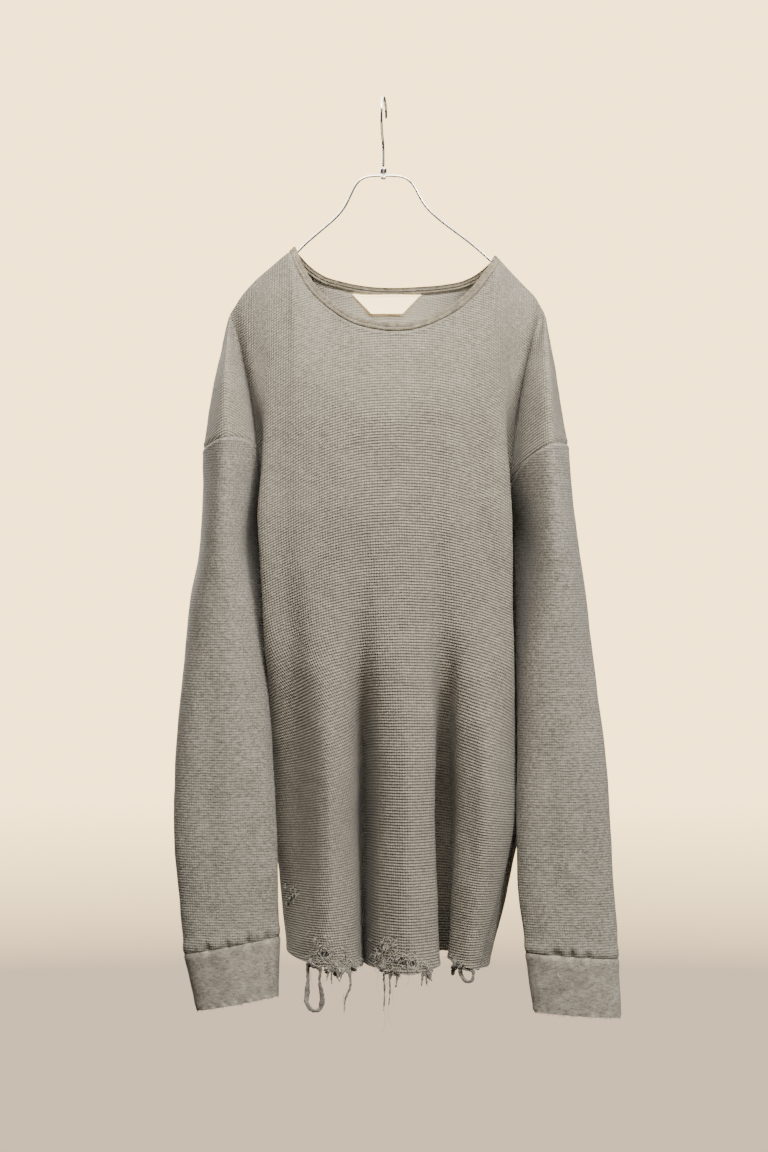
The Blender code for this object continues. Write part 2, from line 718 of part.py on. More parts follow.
def wire_from(name, path, material, cyclic=False):
    """A round wire along a path."""
    curve = bpy.data.curves.new(name, "CURVE")
    curve.dimensions = "3D"
    curve.bevel_depth = WIRE_R * MM
    curve.bevel_resolution = (WIRE_SIDES - 4) // 2
    curve.use_fill_caps = not cyclic
    run = curve.splines.new("POLY")
    run.points.add(len(path) - 1)
    for point, place in zip(run.points, path):
        point.co = (*(Vector(place) * MM), 1.0)
    run.use_cyclic_u = cyclic
    made = bpy.data.objects.new(name, curve)
    bpy.context.collection.objects.link(made)
    curve.materials.append(material)
    return made


def turned_from(name, profile, material):
    """A turned piece on the hook's shank: rings joined by quads, with flat ends."""
    points, faces = [], []
    for radius, height in profile:
        for side in range(TURN_SIDES):
            angle = 2 * math.pi * side / TURN_SIDES
            points.append((SHANK_X + radius * math.cos(angle), radius * math.sin(angle), height))
    for ring in range(len(profile) - 1):
        for side in range(TURN_SIDES):
            after = (side + 1) % TURN_SIDES
            first, second = ring * TURN_SIDES, (ring + 1) * TURN_SIDES
            faces.append((first + side, second + side, second + after, first + after))
    faces.append(tuple(range(TURN_SIDES)))
    faces.append(tuple(range(len(points) - 1, len(points) - 1 - TURN_SIDES, -1)))
    return object_from(name, points, faces, material)


def smooth_path(points, step):
    """A path through points, read at even steps."""
    knots = chord_knots(points)
    count = max(2, int(round(knots[-1] / step)))
    return spline(knots, points, np.linspace(0.0, knots[-1], count + 1))


def shoulder_run(edges):
    """The wire's points under a shoulder seam, from its neck end, as deep as the fold's angle asks."""
    run = []
    for edge, before, after in zip(edges[:-1], edges[:1] + edges[:-2], edges[1:]):
        along = np.array([after.x - before.x, after.z - before.z], float)
        along /= np.linalg.norm(along)
        inward = np.array([-along[1], along[0]]) if along[0] < 0 else np.array([along[1], -along[0]])
        if inward[1] > 0:
            inward = -inward
        depth = (WIRE_R + KNIT_WALL / 2 + WIRE_GAP) / (edge.forward / math.hypot(edge.forward, edge.down))
        if edge is edges[0]:
            depth += NECK_DROP
        run.append((edge.x + inward[0] * depth, 0.0, edge.z + inward[1] * depth))
    return run


def end_bend(tip, last):
    """The bend at one end of the frame, from where the shoulder run meets it down to the bar."""
    side = math.copysign(1.0, tip.x)
    centre = np.array([tip.x - side * END_INSET, BAR_Z + END_R])
    toward = np.array([last[0], last[2]]) - centre
    reach = np.linalg.norm(toward)
    start = math.atan2(toward[1], toward[0] * side) - math.acos(END_R / reach)
    angles = np.linspace(start, -math.pi / 2, END_STEPS + 1)
    return [(centre[0] + side * END_R * math.cos(a), 0.0, centre[1] + END_R * math.sin(a)) for a in angles]


def frame_path():
    """The closed frame: bridge, both shoulders and their end bends, then the bar."""
    halves = []
    for visible, edges in ((FRAME_LEFT, SHOULDER_LEFT[::-1]), (FRAME_RIGHT, SHOULDER_RIGHT)):
        run = shoulder_run(edges)
        shoulder = smooth_path([tuple(bend) for bend in visible] + run, FRAME_STEP)
        halves.append(list(shoulder) + end_bend(edges[-1], run[-1]))
    left, right = halves
    bar = np.linspace(left[-1], right[-1], int((right[-1][0] - left[-1][0]) / BAR_STEP) + 1)[1:-1]
    return left + list(bar) + right[::-1]


def add_label(surface, material):
    """The label hangs inside the back, from just below the neck seam, clear of the panel behind it."""
    faces = [face for face, name in zip(surface.faces, surface.panels) if name == "back_panel"]
    back = BVHTree.FromPolygons([Vector(point) for point in surface.points], faces)
    outer, inner, solid = [], [], []
    for down in np.linspace(0.0, 1.0, LABEL_ROWS + 1):
        for over in np.linspace(-1.0, 1.0, LABEL_COLUMNS + 1):
            half = between(LABEL_TOP, LABEL_FOOT, down)
            start = Vector((LABEL_X + over * half, 0.0, between(LABEL_TOP_Z, LABEL_FOOT_Z, down)))
            hit, normal, _, _ = back.ray_cast(start, Vector((0.0, 1.0, 0.0)))
            forward = -normal if normal.y > 0 else normal
            centre = hit + forward * (KNIT_WALL / 2 + LABEL_GAP + LABEL_WALL / 2)
            outer.append(centre + forward * LABEL_WALL / 2)
            inner.append(centre - forward * LABEL_WALL / 2)
    width = LABEL_COLUMNS + 1
    count = len(outer)
    edges = {}
    for row in range(LABEL_ROWS):
        for column in range(LABEL_COLUMNS):
            a = row * width + column
            cell = (a, a + 1, a + width + 1, a + width)
            solid += [cell, tuple(count + corner for corner in reversed(cell))]
            for first, second in zip(cell, cell[1:] + cell[:1]):
                edges[(first, second)] = True
    solid += [(b, a, count + a, count + b) for a, b in edges if (b, a) not in edges]
    return object_from("neck_label", outer + inner, solid, material)


def cut_rips(panel, material):
    """Each rip is a ragged prism along Y, taken out of the panel."""
    for rip in RIPS:
        turn = math.radians(rip.turn)
        points = []
        for depth in (rip.y_from, rip.y_to):
            for side in range(rip.sides):
                angle = 2 * math.pi * side / rip.sides
                reach = 1.0 + RAGGED * math.sin(3.0 * side + rip.x)
                x = rip.half_x * reach * math.cos(angle)
                z = rip.half_z * reach * math.sin(angle)
                over = x * math.cos(turn) - z * math.sin(turn)
                up = x * math.sin(turn) + z * math.cos(turn)
                points.append((rip.x + over, depth, rip.z + up))
        count = rip.sides
        faces = [tuple(range(count)), tuple(range(2 * count - 1, count - 1, -1))]
        for side in range(count):
            after = (side + 1) % count
            faces.append((side, count + side, count + after, after))
        cutter = object_from(rip.name, points, faces, material)
        cutter.hide_render = True
        cutter.display_type = "WIRE"
        cut = panel.modifiers.new(rip.name, "BOOLEAN")
        cut.operation = "DIFFERENCE"
        cut.solver = "EXACT"
        cut.object = cutter


def hem_place(hem, x):
    """Point and outward direction of the front's hem where it crosses X, near the viewer."""
    for first, second in zip(hem[:-1], hem[1:]):
        if first[0] <= x <= second[0] and min(first[1], second[1]) < HEM_FRONT_Y:
            share = (x - first[0]) / (second[0] - first[0])
            along = second - first
            outward = np.array([along[1], -along[0], 0.0])
            return between(first, second, share), outward / np.linalg.norm(outward)
    raise ValueError("the hem has no place there")


def add_strip(strip, hem, material):
    """A strip under the hem and its strands, as one closed body."""
    points, faces = [], []
    rings = []
    for x in np.linspace(strip.x_from, strip.x_to, strip.cells + 1):
        place, outward = hem_place(hem, x)
        top = place[2] - STRIP_GAP
        ring = []
        for side, height in ((1, top), (1, top - strip.height), (-1, top - strip.height), (-1, top)):
            point = place + outward * side * STRIP_WALL / 2
            ring.append(len(points))
            points.append((point[0], point[1], height))
        rings.append(ring)
    for before, after in zip(rings[:-1], rings[1:]):
        faces += [(before[k], before[(k + 1) % 4], after[(k + 1) % 4], after[k]) for k in (0, 2, 3)]
    faces += [tuple(reversed(rings[0])), tuple(rings[-1])]
    under = [(before[1], before[2], after[2], after[1]) for before, after in zip(rings[:-1], rings[1:])]
    used = set()
    for strand in strip.strands:
        used.add(strand.root)
        root = under[strand.root]
        depths = [np.mean([points[corner][1] for corner in root])] * len(strand.rows)
        if strand.end is not None:
            used.add(strand.end)
            last = np.mean([points[corner][1] for corner in under[strand.end]])
            depths = np.linspace(depths[0], last, len(strand.rows))
        previous = root
        route = np.array([(row.x, row.z) for row in strand.rows])
        for number, (row, depth) in enumerate(zip(strand.rows, depths)):
            ahead = route[min(number + 1, len(route) - 1)] - route[max(number - 1, 0)]
            ahead = ahead / np.linalg.norm(ahead)
            side = np.array([-ahead[1], ahead[0]]) * row.half
            ring = []
            for over, forward in ((-1, -1), (-1, 1), (1, 1), (1, -1)):
                ring.append(len(points))
                x, z = route[number] + over * side
                points.append((x, depth + forward * STRAND_DEPTH, z))
            faces += [(previous[k], previous[(k + 1) % 4], ring[(k + 1) % 4], ring[k]) for k in range(4)]
            previous = ring
        if strand.end is None:
            faces.append(tuple(previous))
        else:
            close = under[strand.end]
            match = (close[3], close[2], close[1], close[0])
            faces += [(previous[k], previous[(k + 1) % 4], match[(k + 1) % 4], match[k]) for k in range(4)]
    faces += [quad for number, quad in enumerate(under) if number not in used]
    return object_from(strip.name, points, faces, material)


def plain_material(name, colour, roughness, metallic=0.0):
    made = bpy.data.materials.new(name)
    made.use_nodes = True
    shader = made.node_tree.nodes["Principled BSDF"]
    shader.inputs["Base Color"].default_value = (*colour, 1.0)
    shader.inputs["Roughness"].default_value = roughness
    shader.inputs["Metallic"].default_value = metallic
    made.diffuse_color = (*colour, 1.0)
    return made


def garment_surface():
    """The whole mid surface, with a panel name on every face."""
    surface = Surface()
    front = body_grid(FRONT_LINES, FRONT_NECK)
    back = body_grid(BACK_LINES, BACK_NECK)
    surface.add("front_panel", front)
    surface.add("back_panel", back, flip=True)
    notch_row = len(UPPER_SHARES) - 1 + NOTCH_ROWS
    arm_row = notch_row + ARM_ROWS
    for side, column, ribs, cuts, tilt, cuff in (
        ("left", 0, RIBS_LEFT, SLEEVE_LEFT, SLEEVE_TILT_LEFT, CUFF_LEFT),
        ("right", -1, RIBS_RIGHT, SLEEVE_RIGHT, SLEEVE_TILT_RIGHT, CUFF_RIGHT),
    ):
        right = side == "right"
        front_fan = rib_grid(ribs, front[: notch_row + 1, column], 1.0)
        back_fan = rib_grid(ribs, back[: notch_row + 1, column], -1.0)
        surface.add("front_panel", front_fan, flip=not right)
        surface.add("back_panel", back_fan, flip=right)
        loop = np.vstack(
            [
                front_fan[-1][::-1],
                front[notch_row + 1 : arm_row + 1, column],
                back[notch_row : arm_row, column][::-1],
                back_fan[-1][1:-1],
            ]
        )
        sleeve, shares = sleeve_grid(loop, cuts, tilt)
        surface.add("sleeve_" + side, sleeve, flip=right, closed=True)
        # The wall faces out of the deep fold beside the column, and down at the armpit.
        beside = 1 if column == 0 else -2
        for grid, fan, forward in ((front, front_fan, -1.0), (back, back_fan, 1.0)):
            for row in range(FOLD_ROW, notch_row + 1):
                fold = fan[row, 1] - grid[row, column]
                fold = fold / np.linalg.norm(fold)
                turn = grid[row, beside] - grid[row, column]
                level = (fold + turn / np.linalg.norm(turn)) * np.array([1.0, 1.0, 0.0])
                surface.creases[surface.vertex(grid[row, column])] = level
            for row in range(notch_row + 1, arm_row + 1):
                down = (row - notch_row) / ARM_ROWS
                outward = np.array([0.0, forward * (1.0 - down), -down])
                surface.creases[surface.vertex(grid[row, column])] = outward
        apex = surface.vertex(front[0, column])
        surface.creases[apex] = np.array([math.copysign(TIP_X, front[0, column, 0]), 0.0, TIP_Z])
        surface.plain.add(apex)
        end = oval(cuff, shares, tilt)
        rows = [between(sleeve[-1], end, share) for share in np.linspace(0.0, 1.0, CUFF_ROWS + 1)]
        surface.add("cuff_" + side, rows, flip=right, closed=True)
    add_neck_band(surface, front[0], back[0])
    for corner in (SHOULDER_LEFT[-1], SHOULDER_RIGHT[0]):
        surface.plain.add(surface.vertex((corner.x, corner.y, corner.z)))
    return surface


def neck_columns(row):
    """The columns of a top edge that lie on the neck, both neck points included."""
    return [
        number
        for number, point in enumerate(row)
        if SHOULDER_LEFT[-1].x - 0.01 <= point[0] <= SHOULDER_RIGHT[0].x + 0.01
    ]


def add_neck_band(surface, front_top, back_top):
    """The binding stands up from the neck seam, toward the middle of the neck."""
    front = front_top[neck_columns(front_top)]
    back = back_top[neck_columns(back_top)][::-1][1:-1]
    ring = np.vstack([front, back])
    along = np.roll(ring, -1, axis=0) - np.roll(ring, 1, axis=0)
    inward = np.column_stack([-along[:, 2], np.zeros(len(ring)), along[:, 0]])
    inward /= np.linalg.norm(inward, axis=1)[:, None]
    inward[len(front) :] *= -1.0
    for corner in (0, len(front) - 1):
        inward[corner] = (math.copysign(BAND_POINT_X, -ring[corner, 0]), 0.0, BAND_POINT_Z)
    lean = np.where(np.arange(len(ring)) < len(front), BAND_LEAN_FRONT, BAND_LEAN_BACK)
    lean[[0, len(front) - 1]] = 0.0
    inward[:, 1] = lean
    height = np.where(np.arange(len(ring)) < len(front), BAND_FRONT, BAND_BACK)
    rows = [ring + inward * (height * share)[:, None] for share in np.linspace(1.0, 0.0, BAND_ROWS + 1)]
    surface.add("neck_band", rows, closed=True)


def main():
    for leftover in list(bpy.data.objects):
        bpy.data.objects.remove(leftover)
    knit = plain_material("Waffle knit", (0.36, 0.34, 0.31), 0.95)
    rib = plain_material("Plain rib", (0.33, 0.31, 0.28), 0.95)
    label_cloth = plain_material("Label", (0.78, 0.75, 0.68), 0.8)
    chrome = plain_material("Chrome", (0.75, 0.75, 0.76), 0.18, 1.0)
    surface = garment_surface()
    offsets = surface.offsets()
    for panel, wall, cloth in (
        ("front_panel", KNIT_WALL, knit),
        ("back_panel", KNIT_WALL, knit),
        ("sleeve_left", KNIT_WALL, knit),
        ("sleeve_right", KNIT_WALL, knit),
        ("cuff_left", CUFF_WALL, rib),
        ("cuff_right", CUFF_WALL, rib),
        ("neck_band", BAND_WALL, rib),
    ):
        inset = BAND_INSET if panel == "neck_band" else SEAM_INSET
        points, faces = panel_wall(surface, offsets, panel, wall, inset)
        made = object_from(panel, points, faces, cloth)
        if panel == "front_panel":
            cut_rips(made, cloth)
    hem = body_grid(FRONT_LINES, FRONT_NECK)[-1]
    for strip in STRIPS:
        add_strip(strip, hem, rib)
    add_label(surface, label_cloth)
    wire_from("hanger_frame", frame_path(), chrome, cyclic=True)
    wire_from("hanger_hook", smooth_path([tuple(bend) for bend in HOOK_PATH], HOOK_STEP), chrome)
    turned_from("hanger_ferrule", FERRULE, chrome)
    turned_from("hanger_rivet", RIVET, chrome)


main()
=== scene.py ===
"""A waffle knit thermal top on a thin wire hanger: cloth, sewing, torn hem and finishes.

Lengths are in millimetres until a mesh is made, then metres. X runs to the right, Y away from
the viewer and Z up. The cloth is one surface worked out from the tables below, as its solids
are, in finer steps: cut into panels at its seams, creased, and given a thin wall.
"""

import math
import random
from collections import namedtuple

import bmesh
import bpy
import numpy as np
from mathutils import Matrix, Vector, noise
from mathutils.bvhtree import BVHTree


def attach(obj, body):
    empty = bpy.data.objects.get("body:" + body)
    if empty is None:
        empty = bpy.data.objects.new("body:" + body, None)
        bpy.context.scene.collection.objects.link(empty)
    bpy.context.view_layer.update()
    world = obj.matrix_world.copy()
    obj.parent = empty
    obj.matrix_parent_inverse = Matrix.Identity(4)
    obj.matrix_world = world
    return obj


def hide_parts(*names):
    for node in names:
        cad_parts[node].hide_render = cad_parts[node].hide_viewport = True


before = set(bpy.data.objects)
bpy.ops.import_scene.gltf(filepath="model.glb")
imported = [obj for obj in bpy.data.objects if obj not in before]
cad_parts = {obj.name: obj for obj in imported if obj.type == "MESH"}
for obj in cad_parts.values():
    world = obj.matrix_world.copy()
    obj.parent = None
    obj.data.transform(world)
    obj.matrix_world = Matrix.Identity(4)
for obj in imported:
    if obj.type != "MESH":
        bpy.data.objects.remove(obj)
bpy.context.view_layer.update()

MM = 0.001

# How thick each cloth is, and how far its edges stand back from a seam.
KNIT_WALL = 1.5
CUFF_WALL = 1.7
BAND_WALL = 1.9
LABEL_WALL = 0.7
SEAM_INSET = 0.16
# In a sharp fold the wall reaches farther: how many times at most, and the room each time takes.
MOST_MITRE = 2.5
MITRE_ROOM = 2.4
# Edges that turn more than this are shaded sharp.
SHARP = math.radians(50)

# Heights of the body's stations. The side seams start at the notches, where the armholes turn
# under, and meet at the armpits.
BUST_Z = -340.0
NOTCH_Z = -408.0
ARM_Z = -437.0
SWAY_Z = -825.0
HEM_Z = -900.0
NOTCH_LEFT_X = -129.0
NOTCH_RIGHT_X = 131.0
NOTCH_HALF_Y = 17.0
# How far the lines have gone at the notch from bust to arm, and at the sway from hip to hem.
NOTCH_SHARE = 0.7
SWAY_SHARE = 0.45

# Where the flutes grow between the armpit and the hem.
Growth = namedtuple("Growth", "z across depth")
GROWTH = (
    Growth(ARM_Z, 0, 0),
    Growth(-500, 0.25, 0.03),
    Growth(-568, 0.5, 0.17),
    Growth(-631, 0.85, 0.52),
    Growth(-700, 1, 0.86),
    Growth(-750, 1, 1),
)

# The fold lines of the front from its left side seam to its right: mesh columns to the next
# line, where the line leaves the shoulder or neck, and its place at bust, armpit, hip and hem.
Line = namedtuple("Line", "name columns top_x bust_x bust_y arm_x arm_y hip_x hip_y hem_x hem_y hem_z")
FRONT_LINES = (
    Line("side_left", 2, -161, -135, -20, -132, 0, -108, 26, -84, 34, -885),
    Line("under_left", 2, -152, -127, -34, -108, -24, -112, 14, -96, 16, -886),
    Line("edge_left", 3, -140, -122, -47, -129, -54, -116, 0, -100, -1, -888),
    Line("flute_1_left", 4, -99.2, -97, -57, -98, -62, -76, -58, -78, -70, -894),
    Line("flute_1", 2, -80, -76, -61, -76, -65, -56, -77, -55, -86, -897),
    Line("flute_1_right", 3, -58, -55, -63, -55, -67, -38, -63, -32, -75, -899),
    Line("valley_2", 3, -33, -32, -64, -32, -68, -20, -9, -22, -7, -905),
    Line("flute_2_left", 2, -8, -8, -65, -8, -68, -2, -62, -5, -70, -900),
    Line("flute_2", 2, 14, 15, -65, 15, -68, 24, -80, 26, -88, -904),
    Line("flute_2_right", 3, 37, 37, -64, 38, -68, 48, -64, 53, -70, -899),
    Line("valley_3_left", 1, 58, 59, -63, 57, -67, 59, -12, 58.5, -12, -892),
    Line("valley_3_right", 3, 66, 66, -63, 65, -67, 67, -12, 64.5, -12, -892),
    Line("flute_3_left", 3, 97, 88, -60, 84, -64, 77, -56, 69, -62, -893),
    Line("flute_3", 3, 121.8, 107, -56, 105, -61, 102, -76, 88, -78, -899),
    Line("edge_right", 2, 146, 124, -46, 131, -52, 133, -34, 95, -70, -902),
    Line("under_right", 2, 158, 129, -34, 110, -24, 138, -8, 96, -58, -903),
    Line("side_right", 0, 168, 138, -20, 132, 0, 141, 4, 97, -46, -904),
)
BACK_LINES = (
    Line("side_left", 2, -161, -135, 20, -132, 0, -108, 26, -84, 34, -885),
    Line("under_left", 2, -152, -127, 34, -110, 24, -117, 40, -92, 50, -887),
    Line("edge_left", 3, -140, -122, 47, -136, 56, -127, 60, -90, 66, -890),
    Line("flute_4_side", 3, -99.2, -97, 57, -96, 62, -84, 46, -70, 32, -893),
    Line("valley_4", 3, -75, -67, 61, -64, 64, -58, 10, -55, -8, -896),
    Line("flute_5_left", 3, -42, -42, 63, -42, 66, -38, 46, -37, 40, -899),
    Line("flute_5", 3, -15, -16, 64, -16, 67, -16, 76, -15, 85, -902),
    Line("flute_5_right", 3, 8, 6, 64, 6, 67, 4, 46, 6, 38, -902),
    Line("valley_5", 3, 32, 28, 64, 28, 67, 25, 2, 26, -16, -901),
    Line("flute_6_left", 3, 54, 49, 63, 48, 66, 45, 46, 46, 36, -901),
    Line("flute_6", 3, 92, 76, 61, 70, 65, 68, 80, 66, 85, -903),
    Line("flute_6_side", 3, 121.8, 104, 57, 98, 62, 108, 74, 94, 60, -904),
    Line("edge_right", 2, 146, 124, 46, 138, 56, 147, 52, 110, 16, -907),
    Line("under_right", 2, 158, 129, 34, 110, 24, 145, 26, 107, -20, -907),
    Line("side_right", 0, 168, 138, 20, 132, 0, 141, 4, 97, -46, -904),
)
# Rows between the top edge and the bust as shares of the way, and rows below it.
UPPER_SHARES = (0.0, 0.035, 0.09, 0.18, 0.3, 0.46, 0.64, 0.82, 1.0)
# Beside the hanger's end the first rows meet in one point.
END_SHARES = (0.0, 0.0, 0.0, 0.0, 0.22, 0.42, 0.62, 0.82, 1.0)
END_COLUMNS = 16
LEAST_SHARE = 0.004
# The deep fold beside a shoulder's column starts at this row.
FOLD_ROW = 25
# Rows from bust to notch, from notch to armpit and from there to the hem's fold.
NOTCH_ROWS = 14
ARM_ROWS = 14
LOWER_ROWS = 104

# The top edges: shoulder seams with the neck between them.
Edge = namedtuple("Edge", "x y z forward down aside", defaults=(0,))
NECK_LEFT = Edge(-99.2, 0.0, -160.7, 80, 18)
NECK_RIGHT = Edge(121.8, 0.0, -170.1, 80, 18)
SHOULDER_LEFT = (
    Edge(-161, 0, -225, 42, 60, 25),
    Edge(-151, 0, -209.5, 55, 42),
    Edge(-138, 0, -194.5, 75, 24),
    Edge(-120, 0, -178.5, 80, 16),
    NECK_LEFT,
)
SHOULDER_RIGHT = (
    NECK_RIGHT,
    Edge(132, 0, -181.5, 80, 16),
    Edge(147, 0, -196.8, 75, 24),
    Edge(160, 0, -210.5, 55, 42),
    Edge(168, 0, -224, 42, 60, -45),
)
FRONT_NECK = (
    NECK_LEFT,
    Edge(-95.5, -10, -171.5, 72, 34),
    Edge(-87.7, -17, -187.8, 60, 50),
    Edge(-75.9, -23, -205.5, 45, 60),
    Edge(-58, -30, -223.1, 30, 66),
    Edge(-35.1, -37, -238.4, 24, 70),
    Edge(-9.3, -40, -246, 20, 72),
    Edge(11.3, -41, -248.2, 20, 72),
    Edge(32, -40, -246, 20, 72),
    Edge(57.9, -36, -236.3, 24, 70),
    Edge(80.8, -30, -222.1, 30, 66),
    Edge(99.8, -23, -203.4, 45, 60),
    Edge(111, -16, -188.3, 60, 50),
    Edge(118.3, -9.5, -177.5, 72, 34),
    NECK_RIGHT,
)
BACK_NECK = (
    NECK_LEFT,
    Edge(-94, 8.5, -166.2, 72, 34),
    Edge(-85.3, 14, -175.3, 60, 50),
    Edge(-67.7, 19, -187.9, 50, 66),
    Edge(-46.6, 22, -194.6, 42, 74),
    Edge(-14.9, 26, -199.9, 38, 80),
    Edge(8.5, 27, -200.9, 38, 80),
    Edge(38.2, 26, -199.9, 38, 80),
    Edge(64.7, 23, -198, 42, 74),
    Edge(85.7, 20, -194, 50, 66),
    Edge(102, 15, -186.4, 60, 50),
    Edge(116, 8, -175.2, 72, 34),
    NECK_RIGHT,
)

# Past the hanger's ends each shoulder hangs as a narrow column. Its lines fan out from the end
# of the wire to the armhole seam, from the body outwards: half way and at the seam.
Rib = namedtuple("Rib", "mid_x mid_y mid_z end_x end_y end_z")
RIBS_LEFT = (
    Rib(-147.5, -34, -298, -139.5, -52, -361),
    Rib(-163, -50, -292, -160.5, -73, -359),
    Rib(-172, -34, -295, -181, -46, -366),
    Rib(-177, 0, -298, -187, 0, -370),
)
RIBS_RIGHT = (
    Rib(152, -36, -300, 148.5, -53, -379),
    Rib(169, -50, -292, 170, -73, -366),
    Rib(176, -34, -294, 186, -46, -364),
    Rib(180, 0, -296, 191, 0, -366),
)
RIB_COLUMNS = 8

# Sections down each sleeve: height, centre, half sizes and how far the side toward the body swells.
Cut = namedtuple("Cut", "z x y half_x half_y swell", defaults=(0,))
SLEEVE_LEFT = (
    Cut(-478, -165, -3, 28, 66, 5),
    Cut(-522, -165, -10, 35.5, 54, 1),
    Cut(-610, -165.5, -25, 43.5, 36),
    Cut(-690, -166, -31, 50, 26),
    Cut(-745, -165, -33, 52.5, 21),
    Cut(-830, -160.5, -34, 50.5, 16),
    Cut(-882, -157.5, -34, 48.5, 14),
)
SLEEVE_RIGHT = (
    Cut(-478, 176.5, -3, 27, 66, 13),
    Cut(-522, 178, -10, 32, 54, 8),
    Cut(-610, 180.5, -25, 39.5, 36, 2),
    Cut(-697, 184.5, -31, 45.5, 26),
    Cut(-763, 186.5, -33, 48, 20),
    Cut(-830, 189, -34, 49, 16),
    Cut(-893, 194.5, -34, 47, 14),
)
OVAL_STEPS = 720
# The swelling lies behind the middle of the side, as shares of the section's half depth.
SWELL_BACK = 0.25
SWELL_SPREAD = 0.4
# The armhole loop counts as lying at this height. Below the other one the sections tilt.
LOOP_Z = NOTCH_Z + 30.0
TILT_Z = -640.0
SLEEVE_TILT_LEFT = 0.19
SLEEVE_TILT_RIGHT = -0.07
CUFF_LEFT = Cut(-942, -151.5, -34, 42.0, 12)
CUFF_RIGHT = Cut(-954, 199.5, -34, 44.5, 12)
# Each arm, with the column of the body's grids that it hangs from.
Arm = namedtuple("Arm", "side column ribs cuts tilt cuff")
ARMS = (
    Arm("left", 0, RIBS_LEFT, SLEEVE_LEFT, SLEEVE_TILT_LEFT, CUFF_LEFT),
    Arm("right", -1, RIBS_RIGHT, SLEEVE_RIGHT, SLEEVE_TILT_RIGHT, CUFF_RIGHT),
)

# The neck band: its height, how it stands at the neck points and how it leans to front and back.
BAND_FRONT = 8.2
BAND_BACK = 6.0
BAND_POINT_X = 0.75
BAND_POINT_Z = 0.66
BAND_LEAN_FRONT = 0.3
BAND_LEAN_BACK = -0.18
BAND_STITCH_ROW = 5
# Its wall from the neck seam up: share of the height, and how far it stands out.
BAND_PROFILE = (
    (0.0, -0.3), (0.1, 0.25), (0.22, 0.45), (0.34, 0.25), (0.42, -0.3), (0.5, 0.2), (0.64, 0.45), (0.8, 0.4),
    (0.92, 0.1), (1.0, -0.1),
)
# Which way the wall faces at the tips of the shoulders.
TIP_X = 0.35
TIP_Z = 0.92

# The neck label: half widths, heights, columns and rows, and how far its foot stands off.
LABEL_X = 3.0
LABEL_TOP = 36.5
LABEL_FOOT = 16.5
LABEL_TOP_Z = -201.5
LABEL_FOOT_Z = -220.5
LABEL_GAP = 0.45
LABEL_COLUMNS = 40
LABEL_ROWS = 14
LABEL_LIFT = 1.4
# How far below the label's top its stitches run.
LABEL_STITCHES = 1.3

# How finely the cloth is sampled: columns to one of the solid's, and rows in each stretch.
FINE = 4
HEM_FOLD = 14.0
HEM_ROWS = 8
UPPER_ROWS = 40
SLEEVE_PLACES = np.concatenate(
    [np.linspace(0.0, 0.04, 13), np.linspace(0.04, 0.965, 91)[1:], np.linspace(0.965, 1.0, 11)[1:]]
)
CUFF_SIDE_ROWS = 18
NOTCH_ROW = UPPER_ROWS + NOTCH_ROWS
ARM_ROW = NOTCH_ROW + ARM_ROWS

# Soft creases pressed into the cloth, by part and side: from and to along X and Z, half width,
# depth and how far the line bows.
Crease = namedtuple("Crease", "x_from z_from x_to z_to width depth bow")
FRONT, REAR = -1, 1
CREASES = {
    ("body", FRONT): (
        Crease(-108, -330, -112, -505, 15, -1.3, 3),
        Crease(-101, -430, -91, -925, 15, -8.0, 0),
        Crease(-118, -360, -124, -520, 7, 1.2, 0),
        Crease(99, -300, 97, -500, 9, -2.1, -3),
        Crease(113, -330, 117, -520, 7, 1.2, 2),
        Crease(-66, -335, -72, -570, 15, -1.5, 3),
        Crease(-18, -430, -25, -610, 12, -1.8, 2),
        Crease(55, -410, 60, -600, 11, -1.7, -2),
        Crease(4, -640, 2, -850, 6, 0.9, 1),
        Crease(-62, -690, -60, -870, 5, -0.9, 1),
        Crease(90, -640, 84, -830, 8, -1.3, 2),
        Crease(-150, -250, -118, -292, 9, -1.1, 3),
        Crease(156, -252, 126, -300, 9, -1.1, -3),
    ),
    ("body", REAR): (
        Crease(-96, -280, -104, -500, 10, -2.2, -4),
        Crease(-40, -380, -52, -600, 13, -1.7, 3),
        Crease(12, -300, 18, -520, 16, -1.6, 0),
        Crease(60, -360, 52, -590, 10, -1.9, 4),
        Crease(104, -290, 112, -480, 9, -2.2, 2),
        Crease(-18, -660, -12, -860, 7, -1.1, 2),
        Crease(84, -650, 78, -850, 7, 1.0, -2),
    ),
    ("sleeve", FRONT): (
        Crease(-141, -560, -139, -880, 9, -1.9, 3),
        Crease(-178, -530, -176, -850, 11, -1.7, -4),
        Crease(-160, -470, -158, -640, 8, 1.2, 2),
        Crease(203, -540, 208, -720, 9, -1.8, 2),
        Crease(171, -650, 176, -880, 10, -1.7, -3),
        Crease(190, -470, 192, -620, 8, 1.1, -2),
    ),
    ("sleeve", REAR): (
        Crease(-150, -500, -146, -800, 10, -2.0, -3),
        Crease(-180, -600, -172, -880, 10, -1.7, 3),
        Crease(184, -520, 196, -830, 10, -2.0, 4),
        Crease(214, -620, 214, -870, 8, -1.5, -2),
    ),
}
# The share of a crease that each end takes to fade.
CREASE_END = 0.3
# Uneven hang of the cloth: how far it wanders, over what distance.
WANDER = ((1.1, 62.0), (0.45, 21.0), (0.12, 7.0))
# It is held still above this height, and hangs free this far below it.
WANDER_FROM = -205.0
WANDER_FADE = 70.0

# Seams are pinched, with a low ridge to each side where the allowances lie.
SEAM_DIP = 0.7
SEAM_DIP_WIDTH = 1.3
SEAM_RISE = 0.6
SEAM_RISE_AT = 3.6
SEAM_RISE_WIDTH = 1.8
# The sleeve stands proud just under the armhole seam.
SLEEVE_HEAD = 0.7
SLEEVE_HEAD_WIDTH = 9.0
